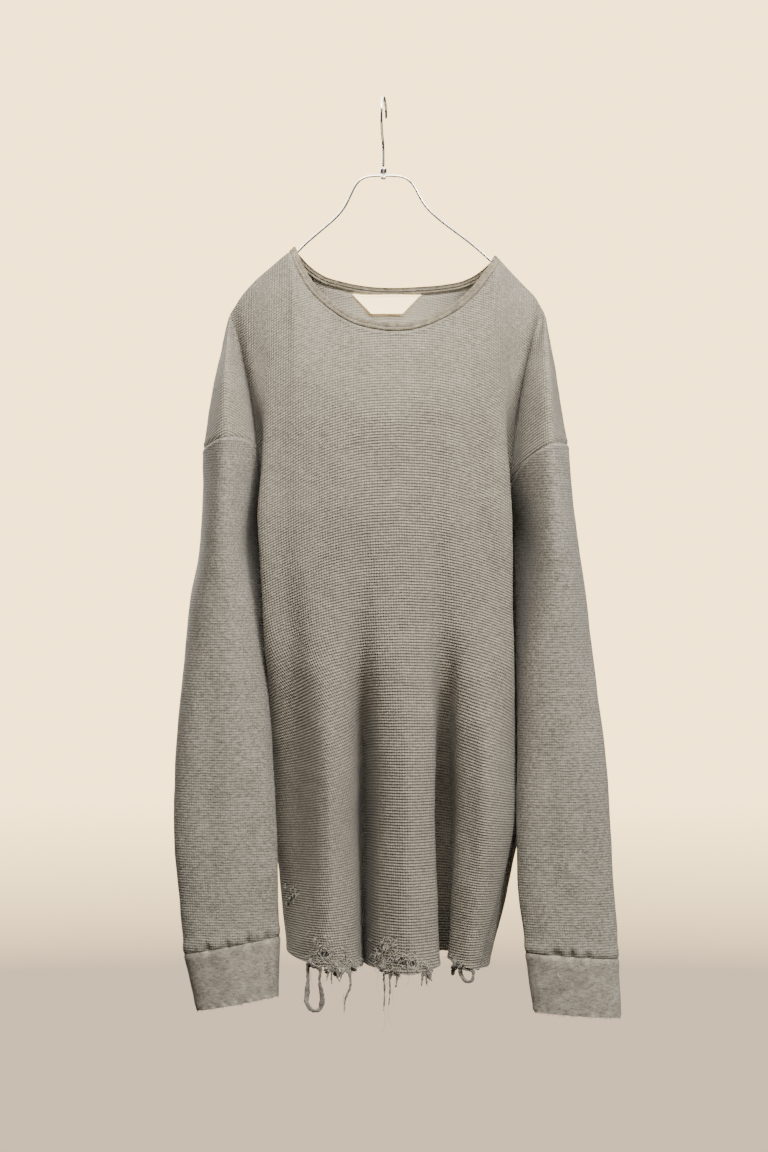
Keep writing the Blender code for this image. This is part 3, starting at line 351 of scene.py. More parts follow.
# Gathers over the cuffs, by X on the front, and on the back.
GATHERS = {
    "left": ((-181.9, -161.4, -139.8, -120.3), (-172.0, -150.0, -131.0)),
    "right": ((176.0, 181.5, 193.3, 209.7), (170.0, 187.0, 204.0, 222.0)),
}
GATHER_DEPTH = 5.2
GATHER_WIDTH = 3.2
GATHER_DROP = 7.5
# The gathers take turns in depth. They fade in from the sides, and the cloth is full between them.
GATHER_TURNS = (1.0, 0.65, 0.9, 0.75)
GATHER_SIDE = 4.0
GATHER_FULL = 1.1
GATHER_FULL_WIDTH = 6.0
# The share of the gathers that the cuff's side of the seam takes up.
CUFF_GATHER = 0.45
# A cut edge curls this far, in waves this long, over this much cloth.
EDGE_CURL = 2.2
EDGE_WAVE = 5.0
EDGE_REACH = 4.0

# How far the knit's courses hang below level by distance from the middle of the body.
DROP_AT = (0, 40, 80, 120, 160, 200, 260, 340)
DROP = (0, 3, 14, 34, 58, 80, 104, 130)
DROP_FADE = 480.0
COLUMN_SLANT = 0.42

# The turned hem: how deep it is, how proud it stands and how softly, and its stitching's groove.
HEM_DEPTH = 5.0
HEM_STEP = 0.45
HEM_SOFTNESS = 0.5
HEM_GROOVE = 0.35
HEM_GROOVE_WIDTH = 0.8

# Rips through the cloth: place, half sizes, turn in degrees and the depths they reach between.
Rip = namedtuple("Rip", "x z half_x half_z turn y_from y_to", defaults=(-118.0, -60.0))
RIPS = (
    Rip(-61.5, -884, 6, 6.5, 25),
    Rip(-38, -893, 3, 9, 8),
    Rip(-73, -887, 2.2, 2.8, 10),
    Rip(-46.6, -893, 1.9, 2.6, 30),
    Rip(-68.5, -871, 1.5, 1.8, 0),
    Rip(-3, -880, 2.4, 8, -12),
    Rip(22, -892.5, 17, 2.6, -10),
    Rip(10.5, -871, 2.6, 3, 12),
    Rip(23, -882, 2.6, 2.4, 15),
    Rip(4, -893, 1.6, 2.2, -20),
    Rip(31, -884.5, 1.3, 1.6, 0),
    Rip(-70.5, -896.5, 3.2, 3, 0),
    Rip(-57, -899.5, 2.6, 3.2, 15),
    Rip(-44.2, -902.5, 1.3, 2.6, 0),
    Rip(15, -906, 2.2, 1.8, 0),
    Rip(47, -901, 2, 3, 0),
    Rip(-8, -900.5, 2.4, 3, 0),
    Rip(-94, -834, 1.9, 8.6, -38, -62, 8),
    Rip(-101.5, -822, 1.9, 1.9, 0, -62, 8),
)
RIP_SIDES = 30
RIP_ROUGH = 0.55
# Fibres at each point of a rip's edge, threads across a rip, and how far outside it they start.
RIP_FIBRES = 3
RIP_BRIDGES = 4
RIP_LIP = 1.08

# Tufts of loosened yarn: place, spread, how many fibres and how long.
Tuft = namedtuple("Tuft", "x z spread_x spread_z count length")
TUFTS = (
    Tuft(-64, -872, 7, 5, 46, 6),
    Tuft(-50, -880, 5, 5, 30, 6),
    Tuft(-48, -897, 5, 2.5, 42, 8),
    Tuft(-33, -897, 4, 3, 24, 8),
    Tuft(-74, -895, 3, 3, 22, 6),
    Tuft(-4, -890, 3, 6, 34, 7),
    Tuft(8, -878, 6, 6, 50, 6),
    Tuft(22, -889, 10, 3, 56, 7),
    Tuft(40, -896, 5, 3, 34, 9),
    Tuft(5, -898, 8, 2, 36, 9),
    Tuft(-90, -822, 2.5, 2.5, 9, 5),
    Tuft(-98, -834, 2, 4, 6, 3),
    Tuft(72, -893, 5, 2, 18, 6),
)
# Long loose yarns: radius and the points they hang through.
Tail = namedtuple("Tail", "radius points")
TAILS = (
    Tail(0.3, ((-74, -78, -902), (-73.5, -79, -912), (-71, -79, -919), (-69.6, -79, -922))),
    Tail(0.22, ((-41, -74, -925), (-41.5, -74, -936), (-40.6, -74, -948))),
    Tail(0.2, ((0, -88, -901), (2, -89, -915), (-1, -89, -930), (1.5, -89, -947), (-1, -89, -962))),
    Tail(0.2, ((5, -89, -902), (3, -90, -914), (6, -90, -926), (4, -90, -941), (6.5, -90, -954))),
    Tail(0.18, ((9, -89, -902), (11, -90, -911), (8.5, -90, -921), (10, -90, -932))),
    Tail(0.18, ((-5, -86, -900), (-7, -87, -910), (-5, -87, -922))),
    Tail(0.22, ((24, -88, -902), (25.5, -89, -909), (22.5, -89, -914))),
    Tail(0.25, ((41, -84, -903), (44, -85, -909), (46, -85, -917))),
    Tail(0.25, ((46, -80, -903), (47.5, -81, -908), (44.5, -81, -913))),
    Tail(0.2, ((-57, -80, -902), (-59, -81, -909), (-62, -81, -913))),
    Tail(0.2, ((-34, -74, -899), (-31, -75, -906), (-28, -75, -909))),
)
CUFF_TAILS = (Tail(0.35, ((178, -49, -909), (181, -50, -914), (186, -50, -921), (189, -50, -926))),)
TAIL_STEP = 3.0
# Radii that loose fibres are drawn from, and their radius at the tip.
RIP_FIBRE = (0.2, 0.45)
RIP_TIP = 0.12
TUFT_FIBRE = (0.16, 0.42)
FINE_TIP = 0.1
FRINGE_FIBRE = (0.12, 0.3)
FRINGE_TIP = 0.08
# The cuffs' fringe: how many fibres, and how long they are at most.
FRINGE_COUNT = 150
FRINGE_LENGTH = 3.0
# A tuft's fibre that misses the cloth is tried again this far up. Rays start in front of the cloth.
TUFT_RETRY = 6.0
RAY_Y = -140.0
# How much a fibre sags at each step, and the seed of all that is drawn at random.
SAG = 0.12
SEED = 7

# Scraps of hem that hang loose: place, half sizes, turn and depth.
Scrap = namedtuple("Scrap", "x z half_x half_z turn y")
SCRAPS = (
    Scrap(-57, -898, 3, 5, -25, -83.5),
    Scrap(-48, -902, 3.4, 6.5, 10, -81.5),
    Scrap(-31, -897, 3, 5, 20, -76.5),
    Scrap(44, -904, 1.8, 6, 18, -80),
    Scrap(75, -896, 7, 8, 15, -68.5),
    Scrap(-2.5, -898, 3.5, 3.2, 0, -79),
    Scrap(-75, -894, 2.5, 4, -10, -75),
)
# A scrap's middle stands this far in front of its rim.
SCRAP_SWELL = 1.5
# The turned-in hem behind the torn feet: how far it lies behind, how high it reaches and where.
TURNING_BEHIND = 2.6
TURNING_TOP = -858.0
TURNING_SPANS = ((-84.0, -28.0), (-12.0, 50.0))
TURNING_ROWS = 20
TURNING_Y = -40.0
TURNING_WALL = 1.0
# The strips that have come away from the hem: how far their yarn stands out, how unevenly and
# over what distance.
STRIPS = ("hem_loop", "hem_strand", "hem_torn_band", "hem_fray_1", "hem_fray_2", "hem_fray_3")
STRIP_SWELL = 0.2
STRIP_ROUGH = 1.1
STRIP_PITCH = 2.2

# Stitches: length, gap, radius, and their height over the cloth at shares of their length.
STITCH = 2.0
STITCH_GAP = 0.9
STITCH_RADIUS = 0.2
STITCH_PLACES = (0.0, 0.25, 0.75, 1.0)
STITCH_HEIGHTS = (-0.1, 0.12, 0.12, -0.1)
# Solids that are copied: points this near are one, flat faces are joined, turned edges are rounded.
MERGE = 1e-6
JOIN_ANGLE = math.radians(40)
BEVEL = 0.3

# Waffle knits by name: yarn colours, fleck, how dark the painted shade in the pits is, depth of the
# bump, and the cells' wale and course pitch, how far they wander and how uneven they are.
Knit = namedtuple("Knit", "light dark fleck pit depth wale course wander uneven")
BODY_KNIT, SLEEVE_KNIT, REVERSE_KNIT_PAINTED_LIGHT = "Waffle knit", "Sleeve waffle knit", "Waffle knit reverse painted light"
BODY_CELLS = (0.0027, 0.00295, 0.0008, 0.7)
SLEEVE_CELLS = (0.0025, 0.0027, 0.0011, 1.1)
KNITS = {
    BODY_KNIT: Knit((0.535, 0.49, 0.40, 1.0), (0.228, 0.204, 0.161, 1.0), 1.0, 0.44, 0.001, *BODY_CELLS),
    SLEEVE_KNIT: Knit(
        (0.485, 0.452, 0.387, 1.0), (0.20, 0.182, 0.15, 1.0), 1.4, 0.13, 0.00035, *SLEEVE_CELLS
    ),
    # The reverse face is the same yarn painted much lighter: painted light on the inside of the garment.
    REVERSE_KNIT_PAINTED_LIGHT: Knit((0.88, 0.82, 0.70, 1.0), (0.64, 0.59, 0.49, 1.0), 0.9, 0.16, 0.0003, *BODY_CELLS),
}
# Plain knits and yarns by name: colours, fleck and depth of the bump.
Plain = namedtuple("Plain", "light dark fleck depth")
PLAINS = {
    "Heather rib": Plain((0.56, 0.515, 0.435, 1.0), (0.23, 0.207, 0.165, 1.0), 1.1, 0.0005),
    "Neck binding": Plain((0.41, 0.355, 0.262, 1.0), (0.15, 0.128, 0.093, 1.0), 1.1, 0.0005),
    "Torn strips": Plain((0.42, 0.39, 0.34, 1.0), (0.16, 0.145, 0.12, 1.0), 1.1, 0.0006),
    # The hem turning and its scraps are the same yarn coloured darker: painted shade behind the front.
    "Hem turning painted shade": Plain((0.30, 0.28, 0.25, 1.0), (0.17, 0.155, 0.135, 1.0), 0.8, 0.0005),
    "Loose yarn": Plain((0.74, 0.70, 0.62, 1.0), (0.42, 0.39, 0.34, 1.0), 0.8, 0.0002),
    "Cream thread": Plain((0.8, 0.76, 0.66, 1.0), (0.62, 0.57, 0.47, 1.0), 0.4, 0.0001),
}
# Scales of the yarn's noise: single fibres, streaks along each axis, drifts and blotches. The
# waffle's own are slow waves and uneven cells.
FIBRE_SCALE = 760.0
STREAK_SCALE = (190.0, 420.0, 560.0)
DRIFT_SCALE = 34.0
BLOTCH_SCALE = 90.0
WAVE_SCALE = 95.0
UNEVEN_SCALE = 420.0
# Ribs of the plain knit, and the two ways of the label's weave, by pitch.
RIB_PITCH = 0.0011
WEAVE_PITCH = (0.0005, 0.0006)
# Painted shade in the waffle's pits.
PIT_SHADE = (0.05, 0.042, 0.034, 1.0)
# Pairs of colours that drift into each other.
LABEL_TAPE = ((0.97, 0.84, 0.58, 1.0), (0.91, 0.77, 0.51, 1.0))
CHROME = ((0.92, 0.91, 0.88, 1.0), (0.82, 0.81, 0.78, 1.0))
FLOOR_PAINT = ((0.80, 0.70, 0.55, 1.0), (0.84, 0.74, 0.59, 1.0))
# What is plain in each finish, by the shader's own names.
CLOTH = {"Specular IOR Level": 0.25}
KNIT_FINISH = {**CLOTH, "Roughness": 0.95, "Sheen Weight": 0.22, "Sheen Roughness": 0.55}
PLAIN_FINISH = {**CLOTH, "Roughness": 0.92, "Sheen Weight": 0.3, "Sheen Roughness": 0.5}
# The label's emission is painted light on the tape.
LABEL_FINISH_AND_PAINTED_LIGHT = {"Roughness": 0.72, "Emission Color": (1.0, 0.74, 0.38, 1.0), "Emission Strength": 3.6}
# Painted shade in deep folds: how far off the folds count, and how much the painted shade darkens the yarn.
PAINTED_SHADE_SAMPLES = 4
PAINTED_SHADE_REACH = 0.09
PAINTED_SHADE_SPAN = (0.3, 0.85, 0.5, 1.0)

# The room: how low and how wide its floor is, and its lights as name, place, aim, size, power and colour.
FLOOR_Z = -1.5
FLOOR_REACH = 1.35
FLOOR_SIDES = 96
LIGHTS = (
    ("key", (1.75, -1.95, 1.25), (0.0, 0.0, -0.5), (1.0, 0.8), 84.0, (1.0, 0.97, 0.92)),
    ("front", (0.0, -2.5, 0.5), (0.0, 0.0, -0.5), (1.2, 1.0), 4.0, (1.0, 0.95, 0.88)),
    ("top", (0.0, -1.05, 0.95), (0.0, 0.0, -0.3), (1.2, 0.5), 43.0, (1.0, 0.96, 0.89)),
    ("back", (-1.1, 2.1, 0.9), (0.0, 0.0, -0.5), (1.4, 1.2), 105.0, (1.0, 0.96, 0.9)),
)
# What the garment gets from all round, and what shines in the wire, by height of the reflection.
WORLD_TINT = (1.0, 0.94, 0.86, 1.0)
WORLD_LIGHT = 0.03
WORLD_SHINE = (0.3, 0.75, 0.07, 5.0)
# The walls as only the camera sees them: their glow, its colours above and below the turn, and
# the slopes of view between which they fade.
WALL_GLOW = 4.6
WALL_HIGH = (1.0, 0.72, 0.34, 1.0)
WALL_LOW = (0.24, 0.185, 0.125, 1.0)
WALL_FADE = (-0.175, -0.1)
CAMERA_Y = -2.3
CAMERA_Z = -0.50085
LENS = 68.45


def between(first, second, share):
    return first + (second - first) * share


def bell(distance, width):
    """One at no distance, and less the farther off."""
    return np.exp(-((distance / width) ** 2))


def hermite(start, leave, end, arrive, share):
    """Cubic from start to end, which leaves and arrives at the slopes given."""
    return (
        start * (1 + 2 * share) * (1 - share) ** 2
        + leave * share * (1 - share) ** 2
        + end * share**2 * (3 - 2 * share)
        + arrive * share**2 * (share - 1)
    )


def spline(knots, values, at):
    """Cubic curve through values at rising knots, read at each place in at."""
    knots = np.asarray(knots, float)
    values = np.asarray(values, float)
    at = np.clip(np.asarray(at, float), knots[0], knots[-1])
    flat = values.reshape(len(knots), -1)
    steps = np.diff(knots)[:, None]
    slopes = np.diff(flat, axis=0) / steps
    tangents = np.empty_like(flat)
    tangents[0] = slopes[0]
    tangents[-1] = slopes[-1]
    tangents[1:-1] = (slopes[:-1] * steps[1:] + slopes[1:] * steps[:-1]) / (steps[:-1] + steps[1:])
    place = np.clip(np.searchsorted(knots, at, side="right") - 1, 0, len(knots) - 2)
    width = steps[place]
    share = ((at - knots[place])[:, None]) / width
    leave, arrive = tangents[place] * width, tangents[place + 1] * width
    curve = hermite(flat[place], leave, flat[place + 1], arrive, share)
    return curve.reshape((len(at),) + values.shape[1:])


def chord_knots(points):
    """Distance along a polyline at each of its points."""
    steps = np.linalg.norm(np.diff(np.asarray(points, float), axis=0), axis=1)
    return np.concatenate([[0.0], np.cumsum(steps)])


def column_places(lines):
    """Each mesh column as a line number plus the share of the way to the next line."""
    places = []
    for number, line in enumerate(lines[:-1]):
        places += [number + step / (FINE * line.columns) for step in range(FINE * line.columns)]
    return np.array(places + [len(lines) - 1], float)


def across(lines, points, places):
    """Points of all lines at one height, read at the column places."""
    knots = chord_knots(points)
    return spline(knots, points, np.interp(places, np.arange(len(lines)), knots))


def line_stations(lines):
    """Knot heights, and each line's X and Y at them."""
    bust, arm, hip, hem = (
        np.array([(getattr(line, at + "_x"), getattr(line, at + "_y")) for line in lines], float)
        for at in ("bust", "arm", "hip", "hem")
    )
    notch = between(bust, arm, NOTCH_SHARE)
    side = math.copysign(NOTCH_HALF_Y, lines[1].bust_y)
    notch[0] = (NOTCH_LEFT_X, side)
    notch[-1] = (NOTCH_RIGHT_X, side)
    heights = [BUST_Z, NOTCH_Z] + [growth.z for growth in GROWTH] + [SWAY_Z, HEM_Z]
    stations = [bust, notch]
    for growth in GROWTH:
        stations.append(between(arm, hip, np.array([growth.across, growth.depth])))
    stations += [between(hip, hem, SWAY_SHARE), hem]
    return np.array(heights), np.array(stations)


def top_edge(x, neck):
    """Y, Z and the leaving slope of the top edge at each X."""
    rows = []
    for value in x:
        part = neck
        if value <= SHOULDER_LEFT[-1].x:
            part = SHOULDER_LEFT
        elif value >= SHOULDER_RIGHT[0].x:
            part = SHOULDER_RIGHT
        knots = [edge.x for edge in part]
        rows.append(spline(knots, [edge[1:] for edge in part], [value])[0])
    return np.array(rows)


def body_grid(lines, neck):
    """Rows by columns of points for a front or back body, from its top edge to its hem."""
    places = column_places(lines)
    heights, stations = line_stations(lines)
    facing = -1.0 if lines is FRONT_LINES else 1.0
    sides = [0, len(lines) - 1]
    nominal = np.concatenate(
        [
            np.linspace(BUST_Z, NOTCH_Z, NOTCH_ROWS + 1),
            np.linspace(NOTCH_Z, ARM_Z, ARM_ROWS + 1)[1:],
            np.linspace(ARM_Z, HEM_Z + HEM_FOLD, LOWER_ROWS + 1)[1:],
            np.linspace(HEM_Z + HEM_FOLD, HEM_Z, HEM_ROWS + 1)[1:],
        ]
    )
    down = spline(-heights, stations, -nominal)
    # The side seams turn at the armpit, so they are smooth above and below it only.
    split = int(np.argmin(np.abs(heights - ARM_Z)))
    below = nominal <= ARM_Z
    down[np.ix_(below, sides)] = spline(-heights[split:], stations[split:][:, sides], -nominal[below])
    hem_z = spline(np.arange(len(lines)), [line.hem_z for line in lines], places)
    rows = []
    for height, points in zip(nominal, down):
        plan = across(lines, points, places)
        sag = max(0.0, (ARM_Z - height) / (ARM_Z - HEM_Z)) ** 2
        rows.append(np.column_stack([plan, height + (hem_z - HEM_Z) * sag]))
    top_x = np.interp(places, np.arange(len(lines)), [line.top_x for line in lines])
    edge = top_edge(top_x, neck)
    start = np.column_stack([top_x, edge[:, 0], edge[:, 1]])
    leave = np.column_stack([edge[:, 4], facing * edge[:, 2], -edge[:, 3]])
    end = rows[0]
    arrive = (rows[1] - rows[0]) / abs(nominal[1] - nominal[0]) * np.abs(end[:, 2] - start[:, 2])[:, None]
    above = []
    steps = np.minimum(np.arange(len(places)), np.arange(len(places))[::-1])
    nearness = np.maximum(0.0, 1.0 - steps / END_COLUMNS)
    steps_down = np.linspace(0.0, len(UPPER_SHARES) - 1, UPPER_ROWS + 1)[:-1]
    known = np.arange(len(UPPER_SHARES))
    middles, outers = np.interp(steps_down, known, UPPER_SHARES), np.interp(steps_down, known, END_SHARES)
    for middle, outer in zip(middles, outers):
        share = between(middle, outer, nearness)[:, None]
        share[share < LEAST_SHARE] = 0.0
        above.append(hermite(start, leave, end, arrive, share))
    return np.array(above + rows)


def rib_grid(ribs, seam_line, side):
    """The fan from the hanger's end: rows follow the body's edge line, columns go round to the
    shoulder seam. Side is 1 on the front and -1 on the back."""
    shares = chord_knots(seam_line)
    shares = shares / shares[-1]
    apex = seam_line[0]
    lines = [seam_line]
    for rib in ribs:
        mid = np.array([rib.mid_x, rib.mid_y * side, rib.mid_z], float)
        end = np.array([rib.end_x, rib.end_y * side, rib.end_z], float)
        lines.append(spline([0.0, 0.5, 1.0], [apex, mid, end], shares))
    # The far side's neighbour of the outer line keeps the turn round it even.
    face = lines[-2] * np.array([1.0, -1.0, 1.0])
    lines.append(face)
    steps = RIB_COLUMNS * len(ribs)
    rows = [np.repeat(apex[None, :], steps + 1, axis=0)]
    for row in range(1, len(seam_line)):
        points = np.array([line[row] for line in lines])
        if shares[row] == 0.0:
            rows.append(rows[0])
            continue
        knots = chord_knots(points)
        places = np.interp(np.arange(steps + 1) / RIB_COLUMNS, np.arange(len(lines)), knots)
        rows.append(spline(knots, points, places))
    return np.array(rows)


def oval(cut, shares, tilt=0.0):
    """Points round a section at shares of its way round, from its outer side by the front."""
    angles = np.linspace(0.0, 2 * math.pi, OVAL_STEPS + 1)
    outward = -1.0 if cut.x < 0 else 1.0
    x = cut.x + outward * cut.half_x * np.cos(angles)
    y = cut.y - cut.half_y * np.sin(angles)
    behind = bell((y - cut.y) / cut.half_y - SWELL_BACK, SWELL_SPREAD)
    x -= outward * cut.swell * behind * np.maximum(0.0, -np.cos(angles))
    ring = np.column_stack([x, y, cut.z + tilt * (x - cut.x)])
    knots = chord_knots(ring)
    places = np.asarray(shares) * knots[-1]
    return np.column_stack([np.interp(places, knots, ring[:, axis]) for axis in range(3)])


def sleeve_grid(loop, cuts, tilt):
    """Rows down a sleeve below its armhole loop, which starts at the outer side and goes by the
    front, and each column's share of the way round."""
    way = chord_knots(np.vstack([loop, loop[:1]]))
    foremost, lowest, rearmost = np.argmin(loop[:, 1]), np.argmin(loop[:, 2]), np.argmax(loop[:, 1])
    turns = [0, int(foremost), int(lowest), int(rearmost), len(loop)]
    shares = np.interp(way[:-1], way[turns], np.linspace(0.0, 1.0, len(turns)))
    tilts = [tilt * max(0.0, (cut.z - TILT_Z) / (cuts[-1].z - TILT_Z)) for cut in cuts]
    stations = [loop] + [oval(cut, shares, amount) for cut, amount in zip(cuts, tilts)]
    drop = [0.0] + [LOOP_Z - cut.z for cut in cuts]
    return spline(drop, np.array(stations), SLEEVE_PLACES * drop[-1]), shares


def smooth_path(points, step):
    """A path through points, read at even steps."""
    knots = chord_knots(points)
    count = max(2, int(round(knots[-1] / step)))
    return spline(knots, points, np.linspace(0.0, knots[-1], count + 1))


def seam_lift(distance):
    """Height of the cloth beside a seam by distance from it."""
    rise = SEAM_RISE * bell(distance - SEAM_RISE_AT, SEAM_RISE_WIDTH)
    return rise - SEAM_DIP * bell(distance, SEAM_DIP_WIDTH)


def run_across(grid):
    """Distance along each row of a grid."""
    steps = np.linalg.norm(np.diff(grid, axis=1), axis=2)
    return np.concatenate([np.zeros((len(grid), 1)), np.cumsum(steps, axis=1)], axis=1)


def run_down(grid):
    """Distance down each column of a grid."""
    return run_across(grid.transpose(1, 0, 2)).T


def body_grain(grid, centre):
    """Flat pattern places of a body grid: across from its centre column, and down."""
    run = run_across(grid)
    over = run - run[:, centre : centre + 1]
    places, known = grid[UPPER_ROWS, :, 0], over[UPPER_ROWS]
    for row in range(UPPER_ROWS):
        x = grid[row, :, 0]
        beyond = np.minimum(0.0, x - places[0]) + np.maximum(0.0, x - places[-1])
        over[row] = np.interp(x, places, known) + beyond
    down = -grid[:, :, 2]
    climb = run_down(grid)
    down[:UPPER_ROWS] = down[UPPER_ROWS] - (climb[UPPER_ROWS] - climb[:UPPER_ROWS])
    drop = spline(DROP_AT, DROP, np.abs(over).ravel()).reshape(over.shape)
    fade = np.clip((grid[:, :, 2] - HEM_Z) / DROP_FADE, 0.0, 1.0)
    return np.dstack([over, down - drop * fade])


def column_grain(grid, ridge):
    """Flat pattern places of the column past a hanger's end, from its ridge."""
    run = run_across(grid)
    over = run - run[:, ridge : ridge + 1]
    return np.dstack([over, -grid[:, :, 2] - COLUMN_SLANT * np.abs(over)])


def tube_grain(grid, middle):
    """Flat pattern places round a tube, from its front."""
    closed = np.concatenate([grid, grid[:, :1]], axis=1)
    run = run_across(closed)
    return np.dstack([run - run[:, middle : middle + 1], -closed[:, :, 2]])


def crease_rise(crease, points, held):
    """How far a crease lifts each point, as far as the point is held to it."""
    start = np.array([crease.x_from, crease.z_from], float)
    along = np.array([crease.x_to, crease.z_to], float) - start
    length = np.linalg.norm(along)
    along /= length
    place = points[:, [0, 2]] - start
    way = np.clip(place @ along / length, 0.0, 1.0)
    off = place @ np.array([-along[1], along[0]]) - crease.bow * np.sin(math.pi * way)
    beyond = place @ along - way * length
    fade = np.clip(way / CREASE_END, 0.0, 1.0) * np.clip((1.0 - way) / CREASE_END, 0.0, 1.0)
    fade = fade * fade * (3.0 - 2.0 * fade)
    return crease.depth * fade * held * np.exp(-((off**2 + beyond**2) / crease.width**2))


class Surface:
    """The garment's mid surface, gathered from grids that share their edge points: its faces, each
    with its place on the flat pattern and its panel, and the points with a way or lift of their own."""

    def __init__(self):
        self.points = []
        self.index = {}
        self.faces = []
        self.grain = []
        self.panels = []
        self.creases = {}
        self.plain = set()
        self.lift = {}
        self.rows = {}
        self.normals = None

    def vertex(self, point):
        key = tuple(int(round(value * 100)) for value in point)
        if key not in self.index:
            self.index[key] = len(self.points)
            self.points.append(np.array(point, float))
        return self.index[key]

    def add(self, panel, grid, grain, lift, flip=False, closed=False):
        numbers = [[self.vertex(point) for point in row] for row in grid]
        for row, rises in zip(numbers, lift):
            for number, rise in zip(row, rises):
                self.lift[number] = min(rise, self.lift.get(number, rise))
        if closed:
            numbers = [row + row[:1] for row in numbers]
        self.rows[panel] = numbers
        for row in range(len(numbers) - 1):
            for column in range(len(numbers[0]) - 1):
                corners = ((row, column), (row, column + 1), (row + 1, column + 1), (row + 1, column))
                a, b, c, d = (numbers[down][over] for down, over in corners)
                if self.distance(a, c) <= self.distance(b, d):
                    halves = ((0, 1, 2), (0, 2, 3))
                else:
                    halves = ((0, 1, 3), (1, 2, 3))
                for half in halves:
                    half = half if flip else half[::-1]
                    face = tuple((a, b, c, d)[corner] for corner in half)
                    if len(set(face)) == 3:
                        self.faces.append(face)
                        self.grain.append([grain[corners[corner]] for corner in half])
                        self.panels.append(panel)

    def distance(self, first, second):
        return float(np.linalg.norm(self.points[first] - self.points[second]))

    def offsets(self):
        """How each point moves for a wall of unit half thickness: further in a sharp fold."""
        points = np.array(self.points)
        faces = np.array(self.faces)
        a, b, c = (points[faces[:, corner]] for corner in range(3))
        area = np.cross(b - a, c - a)
        flat = area / np.maximum(np.linalg.norm(area, axis=1), 1e-9)[:, None]
        total = np.zeros_like(points)
        for corner in range(3):
            ahead = points[faces[:, (corner + 1) % 3]] - points[faces[:, corner]]
            behind = points[faces[:, (corner + 2) % 3]] - points[faces[:, corner]]
            turn = np.einsum("ij,ij->i", ahead, behind)
            turn /= np.maximum(np.linalg.norm(ahead, axis=1) * np.linalg.norm(behind, axis=1), 1e-9)
            np.add.at(total, faces[:, corner], flat * np.arccos(np.clip(turn, -1.0, 1.0))[:, None])
        for number, direction in self.creases.items():
            total[number] = direction
        total /= np.maximum(np.linalg.norm(total, axis=1), 1e-9)[:, None]
        lean = np.full(len(points), 1.0)
        room = np.full(len(points), 1e3)
        for corner in range(3):
            met = np.abs(np.einsum("ij,ij->i", total[faces[:, corner]], flat))
            np.minimum.at(lean, faces[:, corner], met)
            side = np.linalg.norm(points[faces[:, (corner + 1) % 3]] - points[faces[:, corner]], axis=1)
            np.minimum.at(room, faces[:, corner], side)
            np.minimum.at(room, faces[:, (corner + 1) % 3], side)
        lean[list(self.plain)] = 1.0
        most = np.clip(room / MITRE_ROOM, 1.0, MOST_MITRE)
        return total / np.maximum(lean, 1.0 / most)[:, None]

    def crease(self, offsets):
        """Moves every point by its seam's lift, the soft creases and the cloth's uneven hang."""
        points = np.array(self.points)
        normals = offsets / np.linalg.norm(offsets, axis=1)[:, None]
        sleeve = np.zeros(len(points), bool)
        for face, panel in zip(self.faces, self.panels):
            if panel.startswith(("sleeve", "cuff")):
                sleeve[list(face)] = True
        rise = np.array([self.lift[number] for number in range(len(points))])
        for (part, side), creases in CREASES.items():
            held = np.clip(2.0 * normals[:, 1] * side, 0.0, 1.0) * (sleeve == (part == "sleeve"))
            for crease in creases:
                rise += crease_rise(crease, points, held)
        free = self.freedom()
        for number, point in enumerate(points):
            for most, length in WANDER:
                rise[number] += most * free[number] * noise.noise(Vector(point) / length)
        self.points = [point + normal * step for point, normal, step in zip(points, normals, rise)]
        self.normals = normals

    def freedom(self):
        """How freely each point may wander: not at all on the neck band or next to the hanger."""
        free = {}
        for face, panel in zip(self.faces, self.panels):
            for number in face:
                z = self.points[number][2]
                room = 0.0 if panel == "neck_band" else min(1.0, max(0.0, (WANDER_FROM - z) / WANDER_FADE))
                free[number] = min(room, free.get(number, 1.0))
        return free

    def path(self, panel, row):
        """One row of a panel: its points and the ways the cloth faces there."""
        numbers = self.rows[panel][row]
        return [self.points[number] for number in numbers], [self.normals[number] for number in numbers]

    def tree(self, panel):
        """A panel as a shape that rays can hit."""
        faces = [face for face, name in zip(self.faces, self.panels) if name == panel]
        return BVHTree.FromPolygons([Vector(point) for point in self.points], faces)


def open_edges(edges):
    """The edges that no other face meets."""
    return [(a, b) for a, b in edges if (b, a) not in edges]


